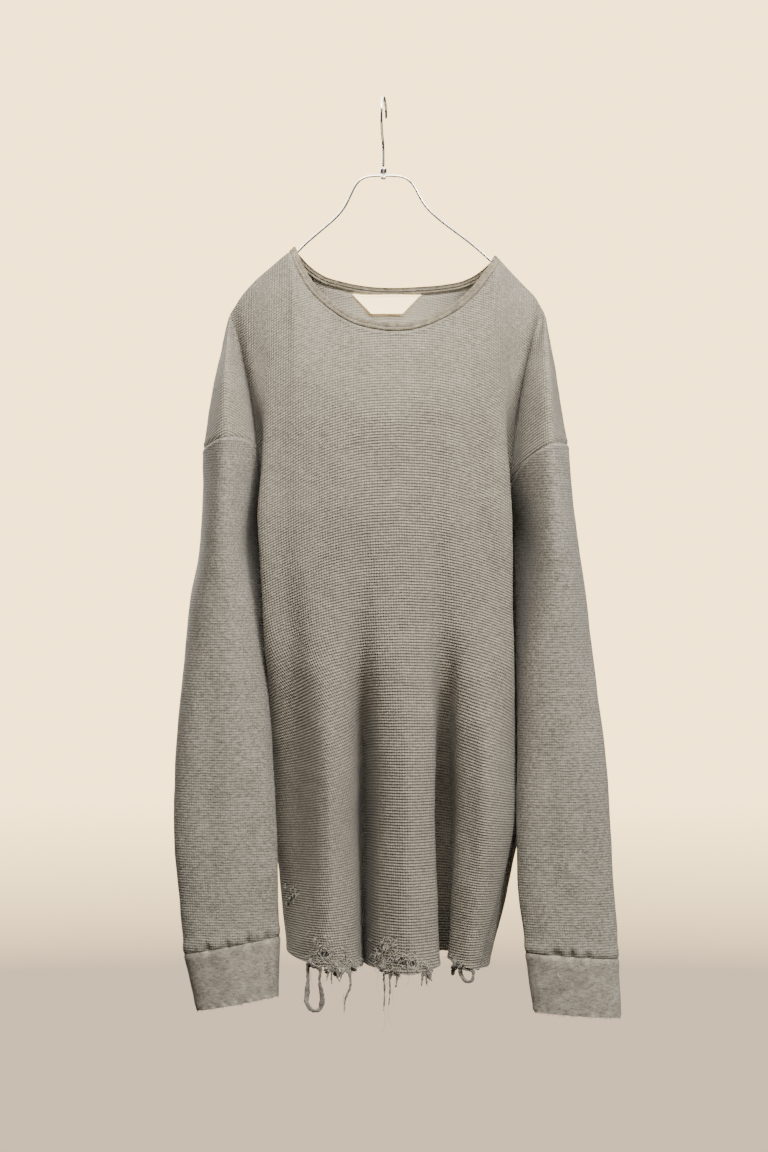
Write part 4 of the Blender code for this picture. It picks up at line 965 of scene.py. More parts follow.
def panel_wall(surface, offsets, panel, wall):
    """One panel cut from the surface at its seams, as a closed wall: points, faces and grain."""
    points = np.array(surface.points)
    own = [number for number, name in enumerate(surface.panels) if name == panel]
    faces = [surface.faces[number] for number in own]
    grain = [surface.grain[number] for number in own]
    named = zip(surface.faces, surface.panels)
    shared = {number for face, name in named if name != panel for number in face}
    edges = {}
    toward = {}
    spot = {}
    for face, places in zip(faces, grain):
        centre = points[list(face)].mean(axis=0)
        for a, b, place in zip(face, face[1:] + face[:1], places):
            edges[(a, b)] = True
            spot[a] = place
            if a in shared:
                toward.setdefault(a, []).append(centre)
    rim = open_edges(edges)
    following = dict(rim)
    before = {b: a for a, b in rim}
    used = sorted({number for face in faces for number in face})
    place = {number: position for position, number in enumerate(used)}
    outer, inner = [], []
    for number in used:
        point, offset = points[number], offsets[number]
        if number in following and number in shared:
            normal = offset / np.linalg.norm(offset)
            along = points[following[number]] - points[before[number]]
            along = along / np.linalg.norm(along)
            inward = np.mean(toward[number], axis=0) - point
            inward = inward - along * inward.dot(along) - normal * inward.dot(normal)
            point = point + inward / max(np.linalg.norm(inward), 1e-6) * SEAM_INSET
        outer.append(point + offset * wall / 2)
        inner.append(point - offset * wall / 2)
    count = len(used)
    solid = [tuple(place[number] for number in face) for face in faces]
    flat = list(grain)
    solid += [tuple(count + place[number] for number in reversed(face)) for face in faces]
    flat += [places[::-1] for places in grain]
    for a, b in rim:
        solid.append((place[b], place[a], count + place[a], count + place[b]))
        flat.append([spot[b], spot[a], spot[a], spot[b]])
    return np.array(outer + inner), solid, flat, len(faces)


def placed(name, data):
    """A new object in the scene."""
    made = bpy.data.objects.new(name, data)
    bpy.context.scene.collection.objects.link(made)
    return made


def object_from(name, points, faces, material, grain=None):
    """A mesh object from points in millimetres, shaded smooth but for its sharp edges."""
    mesh = bpy.data.meshes.new(name)
    mesh.from_pydata([Vector(point) * MM for point in points], [], faces)
    made = placed(name, mesh)
    mesh.materials.append(material)
    if grain is not None:
        layer = mesh.uv_layers.new(name="Grain")
        flat = np.array([place for places in grain for place in places]) * MM
        layer.data.foreach_set("uv", flat.ravel())
    mesh.shade_smooth()
    mesh.set_sharp_from_angle(angle=SHARP)
    return made


def add_body(surface, panel, grid, lines, middle):
    """A front or back body, lifted beside its seams and over its hem."""
    run, fall = run_across(grid), run_down(grid)
    lift = seam_lift(fall)
    sides = seam_lift(np.minimum(run, run[:, -1:] - run))
    lift[NOTCH_ROW:] += sides[NOTCH_ROW:]
    lift[-HEM_ROWS:] += hem_lift(fall[-HEM_ROWS:], fall[-1])
    names = [line.name for line in lines]
    centre = FINE * sum(line.columns for line in lines[: names.index(middle)])
    surface.add(panel, grid, body_grain(grid, centre), lift, flip=panel == "back_panel")


def add_fan(surface, panel, arm, grid):
    """One side of the column that hangs past the hanger's end, down to the armhole seam."""
    back = panel == "back_panel"
    fan = rib_grid(arm.ribs, grid[: NOTCH_ROW + 1, arm.column], -1.0 if back else 1.0)
    run, fall = run_across(fan), run_down(fan)
    lift = seam_lift(run[:, -1:] - run) + seam_lift(fall[-1:] - fall)
    lift[:, 0] = 0.0
    flip = (arm.side == "right") == back
    surface.add(panel, fan, column_grain(fan, 2 * RIB_COLUMNS), lift, flip=flip)
    return fan


def add_sleeve(surface, arm, loop):
    """A sleeve from its armhole loop down, and its cuff."""
    ways = {"flip": arm.side == "right", "closed": True}
    sleeve, shares = sleeve_grid(loop, arm.cuts, arm.tilt)
    foremost, under = int(np.argmin(loop[:, 1])), int(np.argmin(loop[:, 2]))
    run, fall = run_across(sleeve), run_down(sleeve)
    lift = seam_lift(fall) + seam_lift(np.abs(run - run[:, under : under + 1]))
    lift += SLEEVE_HEAD * (fall / SLEEVE_HEAD_WIDTH) * np.exp(1.0 - fall / SLEEVE_HEAD_WIDTH)
    lift += gather_lift(arm.side, sleeve, fall[-1:] - fall, 1.0)
    surface.add("sleeve_" + arm.side, sleeve, tube_grain(sleeve, foremost), lift, **ways)
    end = oval(arm.cuff, shares, arm.tilt)
    shares_down = np.linspace(0.0, 1.0, CUFF_SIDE_ROWS + 1)
    rows = np.array([between(sleeve[-1], end, share) for share in shares_down])
    fall = run_down(rows)
    lift = gather_lift(arm.side, rows, fall, CUFF_GATHER) + raw_edge(rows, fall[-1:] - fall)
    surface.add("cuff_" + arm.side, rows, tube_grain(rows, foremost), lift, **ways)


def face_out(surface, column, grid, fan, forward):
    """Turns the wall out of the deep fold beside the column, and down at the armpit."""
    beside = 1 if column == 0 else -2
    for row in range(FOLD_ROW, NOTCH_ROW + 1):
        fold = fan[row, 1] - grid[row, column]
        fold = fold / np.linalg.norm(fold)
        turn = grid[row, beside] - grid[row, column]
        level = (fold + turn / np.linalg.norm(turn)) * np.array([1.0, 1.0, 0.0])
        surface.creases[surface.vertex(grid[row, column])] = level
    for row in range(NOTCH_ROW + 1, ARM_ROW + 1):
        down = (row - NOTCH_ROW) / ARM_ROWS
        outward = np.array([0.0, forward * (1.0 - down), -down])
        surface.creases[surface.vertex(grid[row, column])] = outward


def garment_surface():
    """The whole mid surface, with a panel name on every face."""
    surface = Surface()
    front = body_grid(FRONT_LINES, FRONT_NECK)
    back = body_grid(BACK_LINES, BACK_NECK)
    add_body(surface, "front_panel", front, FRONT_LINES, "flute_2")
    surface.front_rows = surface.rows["front_panel"]
    add_body(surface, "back_panel", back, BACK_LINES, "flute_5_right")
    for arm in ARMS:
        column = arm.column
        front_fan = add_fan(surface, "front_panel", arm, front)
        back_fan = add_fan(surface, "back_panel", arm, back)
        below = front[NOTCH_ROW + 1 : ARM_ROW + 1, column], back[NOTCH_ROW:ARM_ROW, column][::-1]
        add_sleeve(surface, arm, np.vstack([front_fan[-1][::-1], *below, back_fan[-1][1:-1]]))
        face_out(surface, column, front, front_fan, -1.0)
        face_out(surface, column, back, back_fan, 1.0)
        apex = surface.vertex(front[0, column])
        surface.creases[apex] = np.array([math.copysign(TIP_X, front[0, column, 0]), 0.0, TIP_Z])
        surface.plain.add(apex)
    add_neck_band(surface, front[0], back[0])
    for corner in (NECK_LEFT, NECK_RIGHT):
        surface.plain.add(surface.vertex((corner.x, corner.y, corner.z)))
    return surface


def hem_lift(down, whole):
    """The turned hem: a low step with its stitching's groove over it."""
    from_edge = whole - down
    step = HEM_STEP / (1.0 + np.exp((from_edge - HEM_DEPTH) / HEM_SOFTNESS))
    return step - HEM_GROOVE * bell(from_edge - HEM_DEPTH, HEM_GROOVE_WIDTH)


def gather_lift(side, grid, distance, strength):
    """Dimples beside a cuff's seam, with the cloth full between them."""
    lift = np.zeros(distance.shape)
    middle = grid[:, :, 1].mean()
    for facing, places in zip((-1.0, 1.0), GATHERS[side]):
        near = np.clip((grid[:, :, 1] - middle) * facing / GATHER_SIDE, 0.0, 1.0)
        for turn, x in zip(GATHER_TURNS, places):
            deep = GATHER_DEPTH * turn
            lift -= near * deep * bell(grid[:, :, 0] - x, GATHER_WIDTH) * bell(distance, GATHER_DROP)
    full = GATHER_FULL * bell(distance - GATHER_FULL_WIDTH, GATHER_FULL_WIDTH)
    return strength * (lift + full) + seam_lift(distance) * (1.0 - strength)


def raw_edge(grid, distance):
    """A cut edge's curl and waviness."""
    wave = np.array([[noise.noise(Vector(point) / EDGE_WAVE) for point in row] for row in grid])
    return wave * EDGE_CURL * bell(distance, EDGE_REACH)


def neck_columns(row):
    """The columns of a top edge that lie on the neck, both neck points included."""
    return [
        number
        for number, point in enumerate(row)
        if SHOULDER_LEFT[-1].x - 0.01 <= point[0] <= SHOULDER_RIGHT[0].x + 0.01
    ]


def add_neck_band(surface, front_top, back_top):
    """The binding stands up from the neck seam, toward the middle of the neck."""
    front = front_top[neck_columns(front_top)]
    back = back_top[neck_columns(back_top)][::-1][1:-1]
    ring = np.vstack([front, back])
    along = np.roll(ring, -1, axis=0) - np.roll(ring, 1, axis=0)
    inward = np.column_stack([-along[:, 2], np.zeros(len(ring)), along[:, 0]])
    inward /= np.linalg.norm(inward, axis=1)[:, None]
    inward[len(front) :] *= -1.0
    for corner in (0, len(front) - 1):
        inward[corner] = (math.copysign(BAND_POINT_X, -ring[corner, 0]), 0.0, BAND_POINT_Z)
    lean = np.where(np.arange(len(ring)) < len(front), BAND_LEAN_FRONT, BAND_LEAN_BACK)
    lean[[0, len(front) - 1]] = 0.0
    inward[:, 1] = lean
    height = np.where(np.arange(len(ring)) < len(front), BAND_FRONT, BAND_BACK)
    profile = BAND_PROFILE[::-1]
    rows = np.array([ring + inward * (height * share)[:, None] for share, _ in profile])
    lift = np.array([[rise] * len(ring) for _, rise in profile])
    closed = np.concatenate([rows, rows[:, :1]], axis=1)
    grain = np.dstack([run_across(closed), run_down(closed)])
    surface.add("neck_band", rows, grain, lift, closed=True)


def ragged_outline(rip):
    """Points round a rip or a scrap, as X and Z."""
    turn = math.radians(rip.turn)
    outline = []
    for side in range(RIP_SIDES):
        angle = 2 * math.pi * side / RIP_SIDES
        reach = 1.0
        for rough, often, seed in ((RIP_ROUGH, 1.9, rip.x), (0.5 * RIP_ROUGH, 6.0, rip.z)):
            reach += rough * noise.noise(Vector((math.cos(angle) * often, math.sin(angle) * often, seed)))
        x = rip.half_x * reach * math.cos(angle)
        z = rip.half_z * reach * math.sin(angle)
        over = x * math.cos(turn) - z * math.sin(turn)
        up = x * math.sin(turn) + z * math.cos(turn)
        outline.append((rip.x + over, rip.z + up))
    return outline


def cut_rips(panel, material):
    """Takes every rip out of the front, as ragged prisms along Y."""
    points, faces = [], []
    for rip in RIPS:
        outline = ragged_outline(rip)
        first, count = len(points), len(outline)
        points += [(x, rip.y_from, z) for x, z in outline] + [(x, rip.y_to, z) for x, z in outline]
        faces.append(tuple(first + side for side in range(count)))
        faces.append(tuple(first + count + side for side in reversed(range(count))))
        for side in range(count):
            after = (side + 1) % count
            faces.append((first + side, first + count + side, first + count + after, first + after))
    cutter = object_from("rip_cutters", points, faces, material)
    outward(cutter)
    modify(panel, "BOOLEAN", operation="DIFFERENCE", solver="EXACT", object=cutter)
    bpy.data.objects.remove(cutter)


def outward(made):
    """Turns the faces of a closed mesh outwards."""
    work = bmesh.new()
    work.from_mesh(made.data)
    bmesh.ops.recalc_face_normals(work, faces=work.faces)
    work.to_mesh(made.data)
    work.free()


def pick(made):
    bpy.ops.object.select_all(action="DESELECT")
    made.select_set(True)
    bpy.context.view_layer.objects.active = made


def modify(made, kind, **settings):
    """Adds one modifier to an object and applies it."""
    modifier = made.modifiers.new(kind, kind)
    for name, value in settings.items():
        setattr(modifier, name, value)
    pick(made)
    bpy.ops.object.modifier_apply(modifier=modifier.name)


def copy_of_node(node, name, material, levels, keep_edges=False, swell=0.0):
    """A finer, rounded piece of a solid's own shape."""
    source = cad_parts[node].data
    points = [vertex.co / MM for vertex in source.vertices]
    made = object_from(name, points, [tuple(face.vertices) for face in source.polygons], material)
    work = bmesh.new()
    work.from_mesh(made.data)
    bmesh.ops.remove_doubles(work, verts=work.verts, dist=MERGE)
    bmesh.ops.join_triangles(
        work, faces=work.faces, angle_face_threshold=JOIN_ANGLE, angle_shape_threshold=math.pi
    )
    work.to_mesh(made.data)
    work.free()
    if keep_edges:
        modify(made, "BEVEL", width=BEVEL * MM, segments=3, limit_method="ANGLE")
    if levels:
        modify(made, "SUBSURF", levels=levels, render_levels=levels)
    if swell:
        for vertex in made.data.vertices:
            rough = noise.noise(vertex.co / (STRIP_PITCH * MM)) * STRIP_ROUGH
            vertex.co += vertex.normal * (swell + rough) * MM
    made.data.shade_smooth()
    return made


class Threads:
    """Thin round threads gathered into one piece."""

    def __init__(self, name):
        self.curve = bpy.data.curves.new(name, "CURVE")
        self.curve.dimensions = "3D"
        self.curve.bevel_depth = MM
        self.curve.bevel_resolution = 1
        self.curve.use_fill_caps = True
        self.name = name

    def add(self, points, radius, end_radius=None):
        run = self.curve.splines.new("POLY")
        run.points.add(len(points) - 1)
        last = radius if end_radius is None else end_radius
        for number, (spot, point) in enumerate(zip(run.points, points)):
            spot.co = (*(Vector(point) * MM), 1.0)
            spot.radius = between(radius, last, number / max(1, len(points) - 1))

    def hang(self, tail, end_radius):
        """Adds a long loose yarn."""
        self.add(smooth_path(tail.points, TAIL_STEP), tail.radius, end_radius)

    def finish(self, material):
        made = placed(self.name, self.curve)
        self.curve.materials.append(material)
        pick(made)
        bpy.ops.object.convert(target="MESH")
        made.data.shade_smooth()
        return made


def curl(rng, start, toward, length, steps, bend):
    """A fibre's path: it sets out one way, wanders and sags."""
    point = Vector(start)
    way = Vector(toward).normalized()
    path = [point.copy()]
    for _ in range(steps):
        way += Vector((rng.uniform(-bend, bend), rng.uniform(-bend, bend), rng.uniform(-bend, bend) - SAG))
        way.normalize()
        point = point + way * (length / steps)
        path.append(point.copy())
    return path


def fray(threads, front, rng):
    """Fibres round every rip, across it, along the torn hem and in tufts."""
    ahead = Vector((0.0, 1.0, 0.0))

    def on_front(x, z):
        hit = front.ray_cast(Vector((x, RAY_Y, z)), ahead)
        return (hit[0], -hit[1] if hit[1].y > 0 else hit[1]) if hit[0] else (None, None)

    for rip in RIPS:
        outline = ragged_outline(rip)
        lips = [(between(rip.x, x, RIP_LIP), between(rip.z, z, RIP_LIP)) for x, z in outline]
        spots = [on_front(x, z) for x, z in lips]
        spots = [spot for spot in spots if spot[0]]
        if len(spots) < 4:
            continue
        middle = sum((spot[0] for spot in spots), Vector()) / len(spots)
        size = max(rip.half_x, rip.half_z)
        for spot, _ in spots:
            for _ in range(RIP_FIBRES):
                inward = (middle - spot).normalized() * rng.uniform(-0.3, 1.0)
                inward += Vector((rng.uniform(-0.8, 0.8), -rng.uniform(0.1, 0.9), rng.uniform(-0.9, 0.6)))
                path = curl(rng, spot, inward, rng.uniform(0.35, 1.0) * min(size, 6.0), 5, 0.5)
                threads.add(path, rng.uniform(*RIP_FIBRE), RIP_TIP)
        for _ in range(RIP_BRIDGES):
            first, second = rng.sample(spots, 2)
            slack = Vector((rng.uniform(-1, 1), -rng.uniform(0.2, 1.6), -rng.uniform(0.2, 2.0)))
            path = []
            for share in np.linspace(0.0, 1.0, 7):
                path.append(first[0].lerp(second[0], share) + slack * math.sin(math.pi * share))
            threads.add(path, rng.uniform(*RIP_FIBRE))
    for tuft in TUFTS:
        for _ in range(tuft.count):
            x = rng.gauss(tuft.x, tuft.spread_x)
            z = rng.gauss(tuft.z, tuft.spread_z)
            spot, normal = on_front(x, z)
            if spot is None:
                spot, normal = on_front(x, tuft.z + TUFT_RETRY)
            if spot is None:
                continue
            start = spot + normal * 0.7
            way = normal * rng.uniform(0.2, 1.0) + Vector((rng.uniform(-1, 1), 0.0, rng.uniform(-1.2, 0.5)))
            path = curl(rng, start, way, rng.uniform(0.4, 1.2) * tuft.length, 6, 0.6)
            threads.add(path, rng.uniform(*TUFT_FIBRE), FINE_TIP)
    for tail in TAILS:
        threads.hang(tail, tail.radius * 0.5)


def fringe(threads, rim, rng, count, length):
    """Short fibres along a cut edge."""
    for _ in range(count):
        number = rng.randrange(len(rim) - 1)
        start = Vector(rim[number]).lerp(Vector(rim[number + 1]), rng.random())
        way = Vector((rng.uniform(-0.8, 0.8), rng.uniform(-0.6, 0.6), -1.0))
        path = curl(rng, start, way, rng.uniform(0.3, 1.0) * length, 4, 0.5)
        threads.add(path, rng.uniform(*FRINGE_FIBRE), FRINGE_TIP)


def stitch_row(threads, path, normals):
    """Stitches along a path, each a short thread that dips into the cloth at its ends."""
    knots = chord_knots(path)
    path, normals = np.array(path), np.array(normals)
    height = np.array(STITCH_HEIGHTS)[:, None]
    for start in np.arange(0.0, knots[-1] - STITCH, STITCH + STITCH_GAP):
        at = np.array(STITCH_PLACES) * STITCH + start
        places, out = (
            np.column_stack([np.interp(at, knots, table[:, axis]) for axis in range(3)])
            for table in (path, normals)
        )
        threads.add(places + out * height, STITCH_RADIUS)


def add_label(surface, material, thread_material):
    """The label hangs inside the back, from just below the neck seam, sewn along its top."""
    back = surface.tree("back_panel")
    outer, inner, top, ways = [], [], [], []
    for down in np.linspace(0.0, 1.0, LABEL_ROWS + 1):
        for over in np.linspace(-1.0, 1.0, LABEL_COLUMNS + 1):
            half = between(LABEL_TOP, LABEL_FOOT, down)
            height = between(LABEL_TOP_Z, LABEL_FOOT_Z, down)
            start = Vector((LABEL_X + over * half, 0.0, height))
            hit, normal, _, _ = back.ray_cast(start, Vector((0.0, 1.0, 0.0)))
            forward = -normal if normal.y > 0 else normal
            lift = LABEL_LIFT * down**2 * (0.6 + 0.4 * over**2)
            centre = hit + forward * (KNIT_WALL / 2 + LABEL_GAP + LABEL_WALL / 2 + lift)
            outer.append(centre + forward * LABEL_WALL / 2)
            inner.append(centre - forward * LABEL_WALL / 2)
            if down == 0.0:
                top.append(outer[-1] - Vector((0.0, 0.0, LABEL_STITCHES)))
                ways.append(forward)
    width = LABEL_COLUMNS + 1
    count = len(outer)
    starts = [row * width + column for row in range(LABEL_ROWS) for column in range(LABEL_COLUMNS)]
    cells = [(a + width, a + width + 1, a + 1, a) for a in starts]
    edges = {edge: True for cell in cells for edge in zip(cell, cell[1:] + cell[:1])}
    solid = cells + [tuple(count + corner for corner in reversed(cell)) for cell in cells]
    solid += [(b, a, count + a, count + b) for a, b in open_edges(edges)]
    flat = outer + inner
    grain = [[(flat[corner].x, -flat[corner].z) for corner in face] for face in solid]
    label = object_from("neck_label_cloth", flat, solid, material, grain)
    outward(label)
    sewing = Threads("neck_label_stitches")
    stitch_row(sewing, top, ways)
    return label, sewing.finish(thread_material)


def add_hem_turning(surface, material):
    """The cloth turned in behind the torn feet of the front, which shows through the rips."""
    points = np.array(surface.points)
    inward = -surface.normals
    rows = surface.front_rows[-TURNING_ROWS:]
    solid, flat, place = [], [], {}
    for upper, lower in zip(rows[:-1], rows[1:]):
        for a, b, c, d in zip(upper[:-1], upper[1:], lower[1:], lower[:-1]):
            corners = (a, b, c, d)
            x, y, z = points[list(corners)].mean(axis=0)
            shown = any(low <= x <= high for low, high in TURNING_SPANS)
            if not shown or y > TURNING_Y or z > TURNING_TOP:
                continue
            for corner in corners:
                if corner not in place:
                    place[corner] = len(flat)
                    flat.append(points[corner] + inward[corner] * TURNING_BEHIND)
            solid.append(tuple(place[corner] for corner in corners))
    for scrap in SCRAPS:
        outline = ragged_outline(scrap)
        first = len(flat) + 1
        flat.append((scrap.x, scrap.y - SCRAP_SWELL, scrap.z))
        flat += [(x, scrap.y, z) for x, z in outline]
        for side in range(len(outline)):
            solid.append((first - 1, first + side, first + (side + 1) % len(outline)))
    # Its dark colour is painted shade on a real turned-in layer.
    made = object_from("hem_turning", flat, solid, material)
    modify(made, "SOLIDIFY", thickness=TURNING_WALL * MM, offset=0.0)
    return made


class Nodes:
    """Adds nodes to one tree, each fed by numbers, colours or other nodes' sockets."""

    def __init__(self, tree):
        self.tree = tree

    def feed(self, socket, value):
        if isinstance(value, bpy.types.NodeSocket):
            self.tree.links.new(value, socket)
        elif value is not None:
            socket.default_value = value

    def node(self, kind, feeds=(), **settings):
        """Adds one node and gives its outputs."""
        made = self.tree.nodes.new(kind)
        for name, value in settings.items():
            setattr(made, name, value)
        for socket, value in dict(feeds).items():
            self.feed(made.inputs[socket], value)
        return made.outputs

    def math(self, operation, *values, clamp=False):
        return self.node("ShaderNodeMath", enumerate(values), operation=operation, use_clamp=clamp)[0]

    def vector(self, operation, first, second=None, scale=None):
        feeds = {0: first, 1: second} if scale is None else {0: first, "Scale": scale}
        return self.node("ShaderNodeVectorMath", feeds, operation=operation)[0]

    def noise(self, place, scale, detail, roughness, out="Fac"):
        feeds = {"Vector": place, "Scale": scale, "Detail": detail, "Roughness": roughness}
        return self.node("ShaderNodeTexNoise", feeds)[out]

    def mix(self, share, first, second):
        return self.node("ShaderNodeMix", {0: share, 6: first, 7: second}, data_type="RGBA")[2]

    def span(self, value, low, high, to_low=0.0, to_high=1.0):
        return self.node("ShaderNodeMapRange", enumerate((value, low, high, to_low, to_high)), clamp=True)[0]

    def split(self, vector):
        return self.node("ShaderNodeSeparateXYZ", {0: vector})

    def wave(self, place, pitch):
        return self.math("SINE", self.math("MULTIPLY", self.math("DIVIDE", place, pitch), 2 * math.pi))


def new_group(name, inputs, outputs):
    """An empty node group with named sockets: its nodes, what it is given and what it gives."""
    tree = bpy.data.node_groups.new(name, "ShaderNodeTree")
    for way, sockets in (("INPUT", inputs), ("OUTPUT", outputs)):
        for label, kind in sockets.items():
            tree.interface.new_socket(name=label, in_out=way, socket_type="NodeSocket" + kind)
    nodes = Nodes(tree)
    return nodes, nodes.node("NodeGroupInput"), tree.nodes.new("NodeGroupOutput").inputs


def waffle_group():
    """Raised courses and wales with square pits between them, from flat pattern places in metres."""
    nodes, given, out = new_group(
        "Waffle",
        {"Grain": "Vector", "Wale": "Float", "Course": "Float", "Wander": "Float", "Uneven": "Float"},
        {"Height": "Float", "Pit": "Float"},
    )
    wave = nodes.noise(given["Grain"], WAVE_SCALE, 2.0, 0.5, "Color")
    shift = nodes.vector("SUBTRACT", wave, (0.5, 0.5, 0.5))
    shift = nodes.vector("SCALE", shift, scale=given["Wander"])
    place = nodes.vector("ADD", given["Grain"], shift)
    over, down, _ = nodes.split(place)
    wale, course = (
        nodes.math("MULTIPLY_ADD", nodes.wave(socket, given[pitch]), 0.5, 0.5)
        for socket, pitch in ((over, "Wale"), (down, "Course"))
    )
    lift = nodes.math("MULTIPLY", course, nodes.math("MULTIPLY_ADD", wale, 0.35, 0.65))
    height = nodes.math("MULTIPLY_ADD", wale, 0.38, lift)
    uneven = nodes.noise(place, UNEVEN_SCALE, 2.0, 0.6)
    height = nodes.math("MULTIPLY_ADD", nodes.math("SUBTRACT", uneven, 0.5), given["Uneven"], height)
    nodes.feed(out["Height"], height)
    # Pit is the mask where shade is painted into the pits.
    nodes.feed(out["Pit"], nodes.span(height, 0.75, 0.12))
    return nodes.tree


def heather_group():
    """Marled yarn: light and dark fibres spun together, in flecks, streaks and slow drifts."""
    nodes, given, out = new_group(
        "Heather",
        {"Place": "Vector", "Light": "Color", "Dark": "Color", "Fleck": "Float"},
        {"Color": "Color", "Fuzz": "Float"},
    )
    place = given["Place"]
    fine = nodes.noise(place, FIBRE_SCALE, 3.0, 0.65)
    streak = nodes.noise(nodes.vector("MULTIPLY", place, STREAK_SCALE), 1.0, 2.0, 0.6)
    drift = nodes.noise(place, DRIFT_SCALE, 3.0, 0.6)
    both = nodes.math("ADD", nodes.span(fine, 0.34, 0.66), nodes.span(streak, 0.36, 0.64))
    grain = nodes.math("MULTIPLY", both, 0.5)
    grain = nodes.math("MULTIPLY", nodes.math("SUBTRACT", grain, 0.5), given["Fleck"])
    slow = nodes.math("MULTIPLY", nodes.math("SUBTRACT", drift, 0.5), 0.5)
    share = nodes.math("ADD", nodes.math("ADD", grain, slow), 0.5, clamp=True)
    nodes.feed(out["Color"], nodes.mix(share, given["Dark"], given["Light"]))
    nodes.feed(out["Fuzz"], fine)
    return nodes.tree


def empty_material(name):
    """A new material, its nodes, its shader and the places on the surface that feed it."""
    made = bpy.data.materials.new(name)
    made.use_nodes = True
    nodes = Nodes(made.node_tree)
    return made, nodes, made.node_tree.nodes["Principled BSDF"], nodes.node("ShaderNodeTexCoord")


def finish(nodes, shader, colour, settings, bump=None):
    """Gives a shader its colour and plain settings, and a bump's strength, depth and height."""
    for name, value in {"Base Color": colour, **settings}.items():
        nodes.feed(shader.inputs[name], value)
    if bump:
        feeds = zip(("Strength", "Distance", "Height"), bump)
        nodes.feed(shader.inputs["Normal"], nodes.node("ShaderNodeBump", feeds)[0])


def yarn_node(nodes, heather, places, cloth):
    feeds = {"Place": places["Object"], "Light": cloth.light, "Dark": cloth.dark, "Fleck": cloth.fleck}
    return nodes.node("ShaderNodeGroup", feeds, node_tree=heather)


def knit_material(name, waffle, heather, knit):
    """Heather yarn knitted into a waffle, with painted shade in its pits and in deep folds."""
    made, nodes, shader, places = empty_material(name)
    pitches = {"Wale": knit.wale, "Course": knit.course, "Wander": knit.wander, "Uneven": knit.uneven}
    cells = nodes.node("ShaderNodeGroup", {"Grain": places["UV"], **pitches}, node_tree=waffle)
    yarn = yarn_node(nodes, heather, places, knit)
    colour = nodes.mix(nodes.math("MULTIPLY", cells["Pit"], knit.pit), yarn["Color"], PIT_SHADE)
    # Painted shade: ambient occlusion darkens the yarn's colour in deep folds.
    fold_occlusion = nodes.node("ShaderNodeAmbientOcclusion", {"Distance": PAINTED_SHADE_REACH}, samples=PAINTED_SHADE_SAMPLES)
    painted_shade_colour = nodes.vector("SCALE", colour, scale=nodes.span(fold_occlusion["AO"], *PAINTED_SHADE_SPAN))
    height = nodes.math("MULTIPLY_ADD", yarn["Fuzz"], 0.18, cells["Height"])
    finish(nodes, shader, painted_shade_colour, KNIT_FINISH, (0.75, knit.depth, height))
    return made


def plain_material(name, heather, plain):
    """Plain fine knit of the same heather yarn."""
    made, nodes, shader, places = empty_material(name)
    yarn = yarn_node(nodes, heather, places, plain)
    blotch = nodes.span(nodes.noise(places["Object"], BLOTCH_SCALE, 3.0, 0.6), 0.35, 0.68, 0.78, 1.12)
    colour = nodes.vector("SCALE", yarn["Color"], scale=blotch)
    over, _, _ = nodes.split(places["UV"])
    height = nodes.math("MULTIPLY_ADD", nodes.wave(over, RIB_PITCH), 0.12, yarn["Fuzz"])
    finish(nodes, shader, colour, PLAIN_FINISH, (0.6, plain.depth, height))
    return made


def label_material():
    """Smooth cream tape with a fine cross weave, and a glow of painted light."""
    made, nodes, shader, places = empty_material("Cream label tape")
    ways = [nodes.wave(socket, pitch) for socket, pitch in zip(nodes.split(places["UV"]), WEAVE_PITCH)]
    age = nodes.span(nodes.noise(places["Object"], 60.0, 3.0, 0.6), 0.35, 0.7)
    weave = nodes.math("MULTIPLY", *ways)
    finish(nodes, shader, nodes.mix(age, *LABEL_TAPE), LABEL_FINISH_AND_PAINTED_LIGHT, (0.35, 0.0001, weave))
    return made


def chrome_material():
    """Bright plating with faint rub marks and a little dulling."""
    made, nodes, shader, places = empty_material("Chrome plate")
    rubbed = nodes.noise(nodes.vector("MULTIPLY", places["Object"], (300.0, 300.0, 60.0)), 1.0, 3.0, 0.6)
    dull = nodes.noise(places["Object"], 45.0, 3.0, 0.55)
    rough = nodes.span(rubbed, 0.3, 0.75, 0.07, 0.16)
    colour = nodes.mix(nodes.span(dull, 0.4, 0.75), *CHROME)
    finish(nodes, shader, colour, {"Roughness": rough, "Metallic": 1.0})
    return made


def floor_material():
    """Warm pale paint, a little uneven."""
    made, nodes, shader, places = empty_material("Pale floor paint")
    drift = nodes.span(nodes.noise(places["Object"], 0.9, 2.0, 0.5), 0.3, 0.7)
    finish(nodes, shader, nodes.mix(drift, *FLOOR_PAINT), {"Roughness": 0.9})
    return made


def add_floor():
    """A pale round floor below the garment."""
    turns = [2 * math.pi / FLOOR_SIDES * side for side in range(FLOOR_SIDES)]
    rim = [(FLOOR_REACH * math.cos(turn), FLOOR_REACH * math.sin(turn), FLOOR_Z) for turn in turns]
    points = [Vector(point) / MM for point in rim]
    floor = object_from("floor", points, [tuple(range(FLOOR_SIDES))], floor_material())
    floor.visible_diffuse = False


